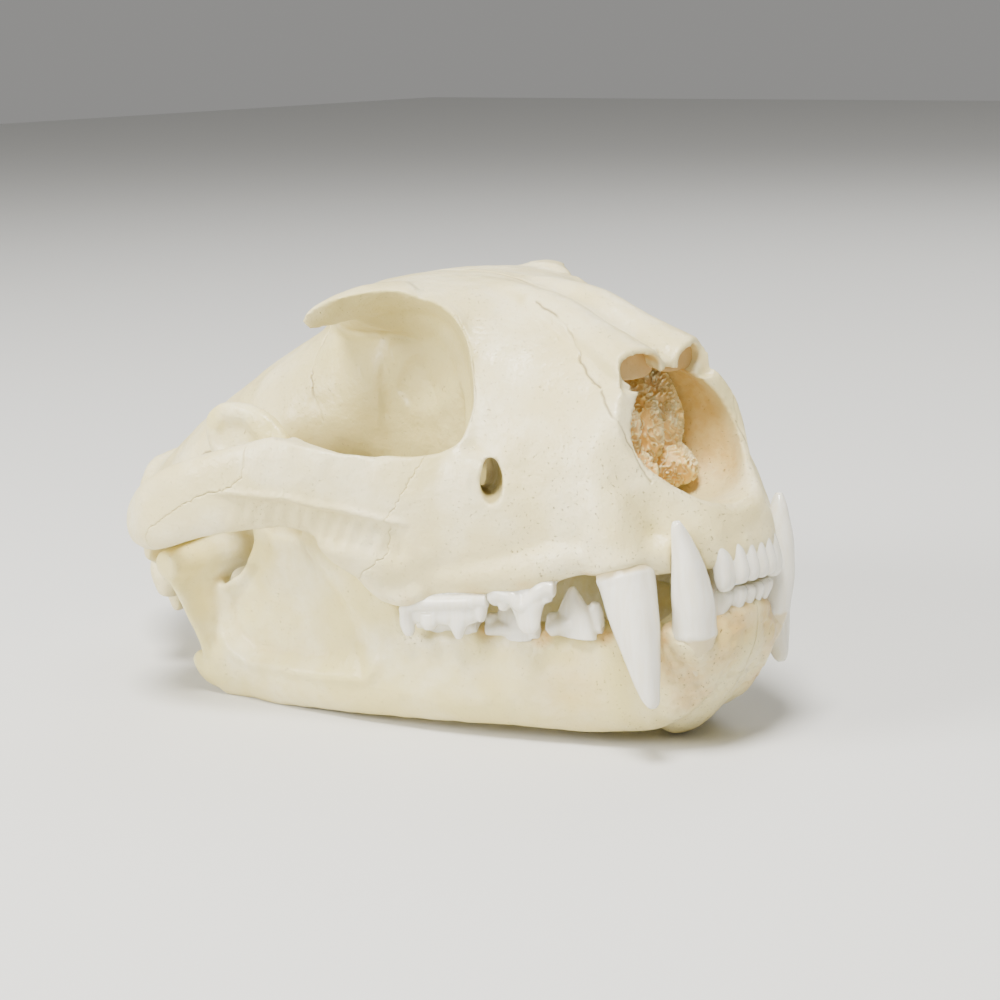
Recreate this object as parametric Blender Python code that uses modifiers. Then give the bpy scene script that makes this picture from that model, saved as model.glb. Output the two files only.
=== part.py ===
"""Skull of an adult cougar with its lower jaw closed, life size, resting on the jaw.

The frame has +X towards the nose, +Y towards the animal's left and +Z up. The origin is on the
surface that the jaw rests on, under the middle of the skull's box. Shapes are written for the
left side, in millimetres, and the right side mirrors them.
"""

import math

import bmesh
import bpy
import numpy as np
from mathutils import Matrix, Vector

MM = 0.001
MIDDLE_X = -2.1
GAP = 0.3
FLOOR = 0.0

VOXEL = 0.9
SKULL_TRIANGLES = 8200
JAW_TRIANGLES = 1700

# Trunks run along X. A row is x, half width, top, bottom, level of the widest point, and how
# square the section is above and below that level (2 is an ellipse).
BRAINCASE = (
    (-97.5, 10, 46.5, 38, 42, 2.0, 2.0),
    (-92, 20.5, 50.0, 30, 39, 1.9, 2.0),
    (-85, 26.5, 55.0, 27, 39, 1.85, 2.0),
    (-77, 30.5, 60.8, 26, 41, 1.8, 2.0),
    (-67, 32.4, 67.8, 27, 44, 1.8, 2.1),
    (-55, 32.6, 75.6, 29, 47, 1.8, 2.1),
    (-43, 31, 82.8, 31, 52, 1.85, 2.1),
    (-32, 28.0, 88.4, 34, 58, 1.9, 2.1),
    (-22, 24.3, 93.0, 37, 64, 2.0, 2.1),
    (-12, 21.5, 97.0, 42, 70, 2.0, 2.3),
    (-2, 20, 99.6, 45, 76, 2.2, 2.6),
)
ORBIT_CORE = (
    (-12, 18.5, 97.0, 44, 76, 2.4, 3.0),
    (10, 19.0, 101.0, 43, 76, 2.6, 3.2),
    (28, 19.5, 100.5, 40, 74, 2.6, 3.4),
    (48, 20.0, 95.5, 39, 70, 2.4, 3.4),
)
FACE = (
    (-26, 12, 93.0, 85, 89, 2.2, 2.0),
    (-15, 20, 97.6, 86, 92, 2.3, 2.0),
    (-6, 27, 100.2, 87, 94, 2.3, 2.0),
    (2, 31.5, 101.9, 88, 95.5, 2.3, 2.0),
    (10, 31, 102.7, 87, 96.5, 2.3, 2.0),
    (18, 29, 102.4, 84, 96, 2.3, 2.0),
    (26, 28.4, 101.2, 74, 91, 2.2, 2.2),
    (34, 29.6, 99.2, 56, 80, 2.05, 2.6),
    (42, 32.4, 97.2, 38, 66, 1.95, 3.0),
    (50, 32.8, 94.2, 38.6, 58, 1.9, 3.2),
    (58, 31, 91.0, 40.4, 54, 2.0, 3.2),
    (66, 28.6, 87.4, 42.4, 52, 2.2, 3.0),
    (72, 26.2, 85.2, 43.6, 51, 2.35, 2.8),
    (77, 20.9, 83.5, 44.0, 50, 2.4, 2.6),
    (81, 17.8, 76.5, 43.6, 50, 2.0, 2.6),
    (85, 15.5, 65.5, 43.0, 50, 2.2, 2.6),
    (89, 13.4, 58.5, 42.4, 48, 2.4, 2.6),
    (92, 10.8, 53.5, 42.0, 46, 2.4, 2.6),
    (93.4, 7.0, 49.5, 42.5, 45, 2.2, 2.2),
)
PALATE = (
    (18, 13, 45, 34.5, 40, 3, 3),
    (30, 24, 47, 35.0, 41, 3, 3),
    (60, 24, 52, 41.0, 46, 3, 3),
)

# Limbs follow a path. A row is x, y, z, half height and half thickness across the path.
CHEEK_ARCH = (
    (58, 25.5, 51, 8, 5.0),
    (50, 29.6, 52, 12.0, 5.6),
    (42, 33.2, 53, 14.4, 6.0),
    (34, 37.4, 53.2, 15.2, 5.0),
    (27, 41.8, 51.6, 16.4, 4.4),
    (20, 46.6, 53.4, 14.8, 3.8),
    (13, 51.0, 58.0, 11.6, 3.4),
    (5, 55.6, 59.8, 11.0, 3.1),
    (-4, 60.0, 58.2, 10.0, 3.0),
    (-13, 63.6, 56.2, 9.6, 3.2),
    (-21.5, 65.6, 53.4, 9.2, 3.5),
    (-29, 66.0, 50.4, 8.6, 4.0),
    (-36, 63.4, 47.6, 7.6, 5.0),
    (-42, 57.4, 45.4, 6.2, 6.8),
    (-44, 50, 44.4, 5.6, 8.2),
    (-46, 38, 45.4, 7.0, 9.6),
    (-48, 26, 48, 8.0, 10),
)
JUGAL_PROCESS = ((12, 52.6, 62, 5, 2.6), (7, 52.6, 67, 4.2, 2.2), (3.4, 51.4, 70.6, 2.4, 1.6))
BROW_PROCESS = (
    (12, 22, 97.0, 4.6, 9.0),
    (8, 29, 96.8, 4.0, 7.6),
    (4.2, 35, 95.6, 3.2, 6.0),
    (0.6, 40, 93.4, 2.9, 4.8),
    (-2.2, 43.2, 91.4, 2.6, 3.6),
    (-4.0, 45.4, 89.8, 2.2, 2.8),
)
NASAL_BONE = (
    (22, 5.4, 97.8, 4.2, 4.6),
    (31.5, 6.2, 97.0, 4.4, 4.8),
    (43.8, 6.8, 94.9, 4.6, 5.0),
    (55.7, 7.2, 90.6, 4.6, 5.3),
    (65.9, 7.5, 86.5, 4.8, 5.4),
    (72.5, 7.7, 83.8, 4.8, 5.4),
    (78, 7.8, 81.4, 4.8, 5.4),
)
NASAL_VAULT = (
    (55, 6.4, 88.4, 2.2, 2.6),
    (60, 6.9, 87.7, 3.4, 3.7),
    (66, 7.2, 86.2, 3.5, 4.0),
    (72.5, 7.4, 83.6, 3.5, 4.0),
    (84, 7.6, 79.0, 3.5, 4.0),
)
CHEEK_ROOT = (
    (12.6, 48.6, 49.5, 4.0, 2.6),
    (17.4, 46.2, 42.5, 4.2, 2.8),
    (21.2, 43.8, 36.4, 4.2, 2.7),
    (24.8, 42.0, 33.8, 3.6, 2.5),
    (31.5, 39.2, 36.6, 3.4, 3.0),
)
ORBIT_RIM = (
    (20, 24.5, 97.2, 3.0, 3.0),
    (28.6, 24.0, 92.4, 3.2, 3.0),
    (33.4, 25.4, 84.5, 3.4, 3.2),
    (36.2, 28.0, 76.5, 3.6, 3.6),
    (36.6, 32.4, 69.5, 4.0, 4.0),
    (31.6, 38.0, 63.5, 4.0, 4.2),
)
TOOTH_ROW_ABOVE = (
    (22.8, 39.2, 37.6, 4.2, 3.0),
    (30, 37.8, 38.6, 4.8, 4.0),
    (42, 34.4, 40.2, 5.0, 4.4),
    (54, 30.4, 42.8, 4.8, 4.4),
    (63, 26.4, 45.2, 4.6, 4.8),
    (70, 22.6, 46.8, 5.2, 5.6),
    (78, 18.6, 46.6, 4.8, 4.6),
    (85, 12.4, 46.8, 4.4, 3.6),
    (90.4, 7.0, 46.8, 4.0, 3.2),
    (91.6, 0.0, 46.8, 4.0, 3.2),
)
CANINE_BULGE = (
    (60, 17.6, 76, 4.6, 5.5),
    (66, 20.0, 64, 6.4, 6.6),
    (70.8, 21.2, 54, 7.8, 7.3),
    (74.6, 21.8, 43.2, 8.0, 7.0),
)
POSTGLENOID = ((-46, 29, 38, 7, 3.0), (-47, 44, 36.5, 8, 2.6), (-45.6, 57, 40, 5, 2.4))
NUCHAL_CREST = (
    (-66, 34.5, 28, 3.6, 2.6),
    (-75, 32.4, 34, 3.6, 2.2),
    (-85, 26.6, 41.4, 3.4, 2.0),
    (-93, 15.6, 45.6, 3.2, 2.0),
    (-96.4, 0, 47.0, 3.4, 2.2),
)
SAGITTAL_CREST = (
    (-98, 0, 46.4, 3.4, 1.8),
    (-88, 0, 52.6, 3.2, 1.6),
    (-74, 0, 62.4, 2.8, 1.5),
    (-60, 0, 71.8, 2.4, 1.6),
    (-46, 0, 80.0, 2.0, 2.0),
)
MASTOID = ((-62, 31, 33, 8, 8), (-64, 36.5, 25, 6, 5.5), (-63.5, 38.4, 18.6, 2.4, 2.4))
PAROCCIPITAL = ((-73, 27, 32, 6, 6), (-70.5, 30.5, 21, 4, 3.6), (-68, 31.6, 12.6, 1.6, 1.6))
PTERYGOID = (
    (24, 12, 41, 6, 1.7),
    (6, 11, 41, 7, 1.5),
    (-10, 10.6, 38.6, 6.5, 1.4),
    (-18, 11, 33.6, 2.2, 1.2),
)

# Ellipsoids are centre, three half sizes, pitch and yaw in degrees.
BULLA = ((-59, 20.5, 27.5), (17, 10.5, 10.0), -11, 12)
CONDYLE_BEHIND = ((-81, 11.6, 28.5), (8.5, 6.4, 9.5), 20, -24)

# What is cut away.
# The eye's socket: its edge, the point that it narrows to, and how far and how wide each ring is.
ORBIT_EDGE = (
    (5.5, 35, 97.0),
    (16, 27.5, 99.6),
    (26.4, 25.6, 97.8),
    (32.4, 25.6, 91.7),
    (36.4, 27.6, 84.4),
    (39.2, 30.4, 76.4),
    (39.4, 34.4, 70.4),
    (34.0, 39, 66.8),
    (27.3, 44, 66.4),
    (18.7, 49, 66.8),
    (9, 52, 68.4),
    (-8, 52, 72),
    (-12, 46, 84),
)
ORBIT_APEX = (2, 20, 71)
ORBIT_DEPTHS = ((-1.1, 1.75), (0.0, 1.0), (0.3, 0.93), (0.55, 0.76), (0.78, 0.5), (0.95, 0.2))
CHEEK_CANAL = (
    (54, 41.5, 61.6, 5.0, 2.7),
    (45.5, 31.8, 61.8, 4.8, 2.6),
    (37, 25.4, 62.4, 4.4, 2.5),
    (30, 22, 64, 3.6, 2.4),
)
NOSE_HOLLOW = (
    (44, 6, 80, 64, 72, 2, 2),
    (54, 12.0, 84.6, 58.0, 71, 2.2, 2.2),
    (62, 14.8, 85.6, 54.4, 71, 2.3, 2.4),
    (68, 16.0, 84.6, 53.2, 70.5, 2.4, 2.4),
    (74, 16.2, 82.8, 53.6, 70, 2.4, 2.4),
    (79, 15.2, 81.6, 54.6, 69, 2.4, 2.4),
    (84, 13.6, 80.0, 56.0, 67, 2.4, 2.4),
    (100, 13.0, 80.0, 56.8, 67, 2.4, 2.4),
)
# What is open in front of the nose, seen from the side.
NOSE_OPENING = (
    (120, 54.6), (91.6, 54.6), (86.6, 58.2), (82.2, 61.2), (79.0, 64.6), (76.4, 68.6), (74.8, 72.6), (73.8, 77),
    (72.6, 80.4), (72.6, 83.0), (120, 83.0),
)
# What is open in front of the nasal bones, seen from above.
NASAL_ENDS = (
    (69.4, 0), (71.2, 4), (72.4, 7.6), (71.6, 9.8), (69.4, 11.2), (67.4, 12.4), (66.8, 13.8), (67.4, 15.4),
    (69.4, 17), (72, 19), (75, 24), (78, 32), (130, 32), (130, 0),
)
SPINAL_OPENING = ((-108, 0, 35, 8.0, 9.0), (-84, 0, 33.5, 8.0, 9.0), (-64, 0, 32, 7.0, 8.0))
EAR_CANAL = ((-57, 44, 29.5, 3.6, 4.4), (-57, 27, 30.5, 3.4, 4.0))
JAW_JOINT = (-38.5, 34.6)
JAW_SOCKET_RADIUS = 6.2
PALATE_VAULT = ((56, 0, 36.5), (36, 16.5, 7.5), -11, 0)

# The lower jaw's body: x, y, lower border, upper border, half thickness.
JAW_BODY = (
    (91.0, 4.2, 25.0, 31.5, 4.8),
    (87, 6.2, 18.0, 30.5, 6.4),
    (80, 9.2, 9.6, 29.6, 6.8),
    (72, 12.0, 4.0, 29.4, 6.8),
    (64, 16.0, 3.0, 28.8, 6.6),
    (52, 21.8, 2.8, 27.6, 6.2),
    (38, 27.6, 2.6, 26.6, 6.0),
    (22, 32.8, 2.2, 26.0, 5.8),
    (6, 36.8, 1.2, 24.6, 5.4),
    (-12, 39.8, 0.0, 21, 4.9),
    (-28, 41.6, -0.7, 17, 4.4),
    (-37, 43.2, -0.9, 13, 3.8),
)
JAW_ANGLE = ((-33, 43, 6.4, 6.0, 3.4), (-40, 43.8, 6.2, 4.8, 3.2), (-45.6, 44, 8, 2.8, 2.4))
# The upright plate: level, front x, back x, y at the back, half thickness.
JAW_PLATE = (
    (5, 8, -40, 43.4, 3.4),
    (13, 18, -43, 43.6, 3.8),
    (21, 22.0, -41, 43.6, 4.0),
    (27, 22.0, -37, 43.8, 3.8),
    (31, 20.0, -28.5, 43.8, 3.6),
    (35, 17.0, -25, 43.8, 3.5),
    (41, 12.0, -22.6, 43.6, 3.2),
    (48, 4.4, -24.4, 43.8, 2.9),
    (56, -3.6, -30.6, 44.2, 2.8),
    (63, -9, -36, 44.4, 2.8),
    (68, -12.5, -36.5, 44.4, 2.6),
    (71.5, -17, -33.5, 44.4, 2.2),
    (73.2, -21.5, -30, 44.4, 1.5),
)
JAW_PLATE_TOE_IN = 0.13
# The chin, a trunk as above, and the socket of the lower canine.
CHIN = (
    (60, 5, 18, 6.5, 12, 2, 2),
    (66, 8, 24, 3.0, 13, 2, 2),
    (72, 10.6, 29, 0.4, 15, 2.2, 2.0),
    (78, 12.4, 31.6, 2.8, 19, 2.4, 1.9),
    (84, 12.4, 33.2, 9.2, 24, 2.6, 1.8),
    (88, 11.2, 33.8, 14.0, 26, 2.6, 1.8),
    (91.4, 9.4, 34.0, 19.4, 28, 2.6, 1.8),
    (93.8, 6.6, 34.0, 24.6, 30, 2.6, 1.8),
    (94.8, 4.0, 33.4, 28.0, 31, 2.2, 2.0),
)
CANINE_SOCKET = ((74, 9.6, 13, 5, 5), (80.4, 10.6, 20.5, 6.0, 5.8), (84.2, 11.8, 26.4, 6.5, 6.2), (85.0, 12.6, 30.4, 6.2, 5.8))
JAW_NECK = (
    (-42.5, 44.2, 9, 3, 2.6),
    (-42, 45.6, 16, 3.1, 4.6),
    (-40.6, 47.4, 24, 3.3, 8),
    (-38.8, 48, 32, 3.6, 11.4),
)
JAW_CONDYLE = ((-38.5, 25.5, 35.2, 4.0, 4.2), (-38.5, 42, 34.6, 5.2, 5.2), (-38.5, 59.5, 34.4, 4.0, 4.2))
MASSETER_HOLLOW = ((-12, 55.6, 24), (30, 10.5, 17), -16, 8)

# Teeth are paths from the root, sunk in the bone, to the tip: x, y, z, two half sizes.
UPPER_CANINE = ((66, 19, 64, 4.4, 4), (75.2, 21.8, 43, 6.7, 5.2), (80.4, 23.2, 28.5, 5.0, 4.1), (84, 23.2, 13.8, 1.3, 1.2))
LOWER_CANINE = ((77, 8.6, 12, 3.4, 3.2), (85.8, 12.9, 29.4, 5.9, 4.7), (88.0, 15.8, 42, 4.3, 3.5), (87, 18.4, 55, 0.9, 0.9))
# Cheek teeth: crown centre, length, width, height of the middle cusp and of the end cusps.
UPPER_CHEEK_TEETH = (((54.4, 31.8, 38.0), 16.6, 6.4, 9.8, 3.8), ((35.8, 37.8, 33.6), 22.0, 6.4, 8.6, 8.0))
LOWER_CHEEK_TEETH = (((61.2, 18.4, 28.4), 12, 5.6, 9.4, 4.4), ((48.0, 24.0, 27.4), 14.5, 6.0, 9.6, 5.0),
                     ((32.4, 29.6, 26.4), 17, 6.2, 8.6, 7.4))
UPPER_INCISORS = ((94.0, 1.65, 1.5, 5.3), (93.6, 4.9, 1.6, 5.4), (92.2, 8.5, 2.1, 6.6))
LOWER_INCISORS = ((92.8, 1.5, 1.2, 4.6), (92.4, 4.1, 1.3, 4.7), (90.9, 6.8, 1.4, 4.2))
UPPER_GUM = 45.2
LOWER_GUM = 34.0

# The cheek bone between its two sutures, as an outline in x and z seen from the side.
CHEEK_BONE = (
    (38, 76), (33.5, 66), (30.9, 59.4), (27.4, 52.5), (26.2, 45), (19, 38), (10, 26), (-31, 26),
    (-30, 45), (-24.5, 49.5), (-18, 53.5), (-12, 56.5), (-5, 59), (-2.5, 62), (-2.4, 66), (-3, 78),
)
CHEEK_BONE_SIDES = (37.5, 90)

LOOKS = {
    "cranium": ((0.71, 0.63, 0.50), 0.55),
    "zygomatic_arch_left": ((0.74, 0.67, 0.55), 0.55),
    "zygomatic_arch_right": ((0.74, 0.67, 0.55), 0.55),
    "mandible_left": ((0.70, 0.58, 0.40), 0.5),
    "mandible_right": ((0.70, 0.58, 0.40), 0.5),
}


def eased(at, values, where):
    """Values on a smooth curve through the given ones, which doesn't overshoot them."""
    at = np.asarray(at, float)
    values = np.asarray(values, float)
    slopes = np.diff(values, axis=0) / np.diff(at)[:, None]
    tangents = np.zeros_like(values)
    before = slopes[:-1]
    after = slopes[1:]
    same_way = before * after > 0
    total = np.where(same_way, before + after, 1)
    tangents[1:-1] = np.where(same_way, 2 * before * after / total, 0)
    tangents[0] = slopes[0]
    tangents[-1] = slopes[-1]
    span = np.clip(np.searchsorted(at, where, side="right") - 1, 0, len(at) - 2)
    width = (at[span + 1] - at[span])[:, None]
    t = (where[:, None] - at[span][:, None]) / width
    return (
        (2 * t**3 - 3 * t**2 + 1) * values[span]
        + (t**3 - 2 * t**2 + t) * width * tangents[span]
        + (3 * t**2 - 2 * t**3) * values[span + 1]
        + (t**3 - t**2) * width * tangents[span + 1]
    )


def filled_in(rows, places, step):
    """Rows about one step apart; the first few columns are the place in space."""
    rows = np.asarray(rows, float)
    lengths = np.linalg.norm(np.diff(rows[:, :places], axis=0), axis=1)
    at = np.concatenate([[0], np.cumsum(lengths)])
    count = max(2, int(round(at[-1] / step)) + 1)
    return eased(at, rows, np.linspace(0, at[-1], count))


def lofted(rings):
    """A closed lump through rings of equal count, with a point in the middle of each end."""
    rings = np.asarray(rings)
    count = rings.shape[1]
    last = (len(rings) - 1) * count
    points = [*rings.reshape(-1, 3), rings[0].mean(axis=0), rings[-1].mean(axis=0)]
    faces = []
    for j in range(count):
        k = (j + 1) % count
        for i in range(len(rings) - 1):
            low = i * count
            high = low + count
            faces.append((low + j, low + k, high + k, high + j))
        faces.append((j, len(points) - 2, k))
        faces.append((last + j, last + k, len(points) - 1))
    return facing_out(np.array(points), faces)


def facing_out(points, faces):
    """The same lump, turned so that its faces point outwards."""
    volume = 0
    for face in faces:
        a = points[face[0]]
        for b, c in zip(face[1:], face[2:]):
            volume += np.dot(a, np.cross(points[b], points[c]))
    if volume < 0:
        faces = [tuple(reversed(face)) for face in faces]
    return points, faces


def swung(angle, power):
    """Sideways and upward shares of a superellipse at an angle."""
    c = math.cos(angle)
    s = math.sin(angle)
    return (
        math.copysign(abs(c) ** (2 / power), c),
        math.copysign(abs(s) ** (2 / power), s),
    )


def trunk(rows, step=2.0, sides=48):
    """A lump along X on the midline, from rows as BRAINCASE has them."""
    rings = []
    for x, wide, top, bottom, level, above, below in filled_in(rows, 1, step):
        ring = []
        for i in range(sides):
            angle = math.tau * i / sides
            high = math.sin(angle) >= 0
            across, up = swung(angle, above if high else below)
            reach = top - level if high else level - bottom
            ring.append((x, wide * across, level + reach * up))
        rings.append(ring)
    return lofted(rings)


def limb(rows, along=(0, 0, 1), step=2.0, sides=20, power=2.0):
    """A lump along a path; the first half size lies nearest to the direction `along`."""
    rows = filled_in(rows, 3, step)
    path = rows[:, :3]
    ways = np.gradient(path, axis=0)
    rings = []
    for centre, way, first, second in zip(path, ways, rows[:, 3], rows[:, 4]):
        way = way / np.linalg.norm(way)
        up = np.asarray(along, float) - np.dot(along, way) * way
        up = up / np.linalg.norm(up)
        side = np.cross(way, up)
        shares = [swung(math.tau * i / sides, power) for i in range(sides)]
        rings.append([centre + first * a * up + second * b * side for a, b in shares])
    return lofted(rings)


def ball(centre, halves, pitch, yaw, rings=24):
    """An ellipsoid, pitched nose up and then turned about Z."""
    place = (
        Matrix.Translation(centre)
        @ Matrix.Rotation(math.radians(yaw), 4, "Z")
        @ Matrix.Rotation(math.radians(-pitch), 4, "Y")
        @ Matrix.Diagonal((*halves, 1))
    )
    made = bmesh.new()
    bmesh.ops.create_uvsphere(made, u_segments=rings, v_segments=rings // 2, radius=1, matrix=place)
    made.verts.index_update()
    points = np.array([vertex.co[:] for vertex in made.verts])
    faces = [tuple(vertex.index for vertex in face.verts) for face in made.faces]
    made.free()
    return facing_out(points, faces)


def prism(outline, near, far, axis):
    """A lump with straight sides: an outline in the two other axes, drawn out along one."""
    others = [i for i in range(3) if i != axis]
    rings = []
    for depth in (near, far):
        ring = np.zeros((len(outline), 3))
        ring[:, others] = outline
        ring[:, axis] = depth
        rings.append(ring)
    count = len(outline)
    points = np.concatenate(rings)
    faces = [(i, (i + 1) % count, (i + 1) % count + count, i + count) for i in range(count)]
    faces.append(tuple(reversed(range(count))))
    faces.append(tuple(range(count, 2 * count)))
    return facing_out(points, faces)


def mirrored(lump):
    """The same lump on the other side of the midline."""
    points, faces = lump
    return points * (1, -1, 1), [tuple(reversed(face)) for face in faces]


def both(lumps):
    """The lumps and their mirror images."""
    return [*lumps, *(mirrored(lump) for lump in lumps)]


def blade(centre, length, width, tall, ends, points_up, heading):
    """A cheek tooth: a ridge along the jaw with one tall cusp between two lower ones."""
    shape = (
        (-0.50, 0.0), (-0.43, 0.8 * ends), (-0.33, ends), (-0.24, 0.7 * ends),
        (-0.04, tall), (0.08, 0.75 * tall), (0.20, 0.62 * ends), (0.33, ends), (0.44, 0.8 * ends),
        (0.50, 0.0),
    )
    sign = 1 if points_up else -1
    turn = math.radians(heading)
    forward = np.array((math.cos(turn), math.sin(turn), 0))
    side = np.array((-math.sin(turn), math.cos(turn), 0))
    rings = []
    for share, height in shape:
        full = math.sqrt(max(0.05, 1 - (2 * share) ** 4))
        middle = np.asarray(centre) + forward * share * length
        half = width / 2 * full
        ring = []
        for across, up in (
            (-0.7, -4.5), (0.7, -4.5), (1, 0.4), (0.8, 0.4 + 0.5 * height), (0.16, 0.4 + height),
            (-0.16, 0.4 + height), (-0.8, 0.4 + 0.5 * height), (-1, 0.4),
        ):
            ring.append(middle + side * across * half + np.array((0, 0, sign * up)))
        rings.append(ring)
    return lofted(rings)


def incisor(x, y, half_width, crown, gum, points_up):
    """A small front tooth with a root sunk in the bone and a chisel tip."""
    sign = 1 if points_up else -1
    lean = 0.7 if points_up else 0.3
    rows = (
        (x - 2.4, y, gum - sign * 4.5, 1.7, 0.8 * half_width),
        (x - 0.6, y, gum, 2.2, 0.95 * half_width),
        (x + 0.1, y, gum + sign * 0.5 * crown, 2.1, half_width),
        (x + lean, y, gum + sign * 0.85 * crown, 1.3, 0.85 * half_width),
        (x + lean, y, gum + sign * crown, 0.5, 0.5 * half_width),
    )
    return limb(rows, along=(1, 0, 0), step=2.8, sides=8)


def model(name, lumps):
    """An object with the lumps in one mesh, in metres and in the part's frame."""
    points = []
    faces = []
    for lump_points, lump_faces in lumps:
        first = len(points)
        faces.extend(tuple(first + i for i in face) for face in lump_faces)
        points.extend(lump_points)
    places = (np.array(points) - (MIDDLE_X, 0, 0)) * MM
    mesh = bpy.data.meshes.new(name)
    mesh.from_pydata(places.tolist(), [], faces)
    made = bpy.data.objects.new(name, mesh)
    bpy.context.scene.collection.objects.link(made)
    return made


def settle(item):
    """Applies the object's modifiers."""
    bpy.context.view_layer.update()
    graph = bpy.context.evaluated_depsgraph_get()
    fresh = bpy.data.meshes.new_from_object(item.evaluated_get(graph))
    stale = item.data
    item.modifiers.clear()
    item.data = fresh
    bpy.data.meshes.remove(stale)


def discard(item):
    """Removes an object and its mesh."""
    mesh = item.data
    bpy.data.objects.remove(item)
    bpy.data.meshes.remove(mesh)


def melted(item, voxel, rounds):
    """Overlapping lumps as one skin of small faces, smoothed."""
    skin = item.modifiers.new("skin", "REMESH")
    skin.mode = "VOXEL"
    skin.voxel_size = voxel * MM
    smooth = item.modifiers.new("smooth", "SMOOTH")
    smooth.factor = 0.5
    smooth.iterations = rounds
    settle(item)


def combine(item, lumps, operation, solver="EXACT"):
    """Cuts lumps from an object, joins them to it, or keeps what is common to both."""
    for lump in lumps:
        tool = model("tool", [lump])
        change = item.modifiers.new("change", "BOOLEAN")
        change.operation = operation
        change.solver = solver
        change.object = tool
        settle(item)
        discard(tool)


def thin_out(item, triangles):
    """Collapses edges until about so many triangles are left."""
    item.data.calc_loop_triangles()
    shrink = item.modifiers.new("shrink", "DECIMATE")
    shrink.ratio = min(1, triangles / len(item.data.loop_triangles))
    shrink.use_collapse_triangulate = True
    settle(item)


def keep_largest(item):
    """Removes every closed surface but the one with the most faces."""
    shape = bmesh.new()
    shape.from_mesh(item.data)
    unseen = set(shape.faces)
    groups = []
    while unseen:
        group = {unseen.pop()}
        front = list(group)
        while front:
            face = front.pop()
            for edge in face.edges:
                for other in edge.link_faces:
                    if other in unseen:
                        unseen.remove(other)
                        group.add(other)
                        front.append(other)
        groups.append(group)
    groups.sort(key=len)
    for group in groups[:-1]:
        bmesh.ops.delete(shape, geom=list(group), context="FACES")
    shape.to_mesh(item.data)
    shape.free()


def block(low, high):
    """A box lump between two corners."""
    outline = ((low[0], low[1]), (high[0], low[1]), (high[0], high[1]), (low[0], high[1]))
    return prism(outline, low[2], high[2], 2)


def upper_teeth(side):
    """The upper teeth of one side; side is 1 for the left and -1 for the right."""
    teeth = [limb(UPPER_CANINE, along=(1, 0, 0), step=4.5, sides=14)]
    for centre, length, width, tall, ends in UPPER_CHEEK_TEETH:
        teeth.append(blade(centre, length, width, tall, ends, False, -17))
    for x, y, half_width, crown in UPPER_INCISORS:
        teeth.append(incisor(x, y, half_width, crown, UPPER_GUM, False))
    return teeth if side > 0 else [mirrored(tooth) for tooth in teeth]


def lower_teeth():
    """The lower teeth of the left side."""
    teeth = [limb(LOWER_CANINE, along=(1, 0, 0), step=4.5, sides=14)]
    for centre, length, width, tall, ends in LOWER_CHEEK_TEETH:
        teeth.append(blade(centre, length, width, tall, ends, True, -20))
    for x, y, half_width, crown in LOWER_INCISORS:
        teeth.append(incisor(x, y, half_width, crown, LOWER_GUM, True))
    return teeth


def cranium_lumps():
    """What the upper skull is made of, before anything is cut away."""
    lumps = [trunk(BRAINCASE), trunk(ORBIT_CORE), trunk(FACE), trunk(PALATE)]
    lumps.append(limb(SAGITTAL_CREST))
    sides = [
        limb(CHEEK_ARCH, power=2.4),
        limb(JUGAL_PROCESS),
        limb(BROW_PROCESS),
        limb(NASAL_BONE),
        limb(CHEEK_ROOT, along=(1, 0, 0)),
        limb(ORBIT_RIM, along=(1, 0, 0)),
        limb(TOOTH_ROW_ABOVE),
        limb(CANINE_BULGE, along=(1, 0, 0)),
        limb(POSTGLENOID),
        limb(NUCHAL_CREST),
        limb(MASTOID, along=(1, 0, 0)),
        limb(PAROCCIPITAL, along=(1, 0, 0)),
        limb(PTERYGOID),
        ball(*BULLA),
        ball(*CONDYLE_BEHIND),
    ]
    return lumps + both(sides)


def orbit():
    """The eye's socket: its edge, drawn in to a point at the back and widened outside."""
    edge = filled_in(ORBIT_EDGE + ORBIT_EDGE[:1], 3, 4.0)[:-1]
    middle = edge.mean(axis=0)
    way = np.asarray(ORBIT_APEX) - middle
    return lofted([middle + share * way + size * (edge - middle) for share, size in ORBIT_DEPTHS])


def cranium_hollows():
    """What is cut from the upper skull."""
    sides = [
        orbit(),
        limb(NASAL_VAULT),
        limb(CHEEK_CANAL),
        limb(EAR_CANAL),
    ]
    mirror = tuple((x, -y) for x, y in reversed(NASAL_ENDS[1:-1]))
    return [
        trunk(NOSE_HOLLOW),
        prism(NOSE_OPENING, -60, 60, 1),
        prism(NASAL_ENDS + mirror, 80.4, 130, 2),
        limb(SPINAL_OPENING),
        ball(*PALATE_VAULT),
    ] + both(sides)


def jaw_sockets():
    """The two troughs that the condyles of the lower jaw sit in."""
    x, z = JAW_JOINT
    r = JAW_SOCKET_RADIUS
    return both([limb(((x, 22, z, r, r), (x, 42, z + 0.4, r + 0.4, r + 0.4), (x, 64, z, r, r)), along=(1, 0, 0))])


def lower_canine_room():
    """The space that the lower canines take in the upper skull, with a small gap round them."""
    rows = np.array(LOWER_CANINE) + (0, 0, 0, 2 * GAP, 2 * GAP)
    return both([limb(rows[1:], along=(1, 0, 0), step=4.5, sides=14)])


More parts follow.
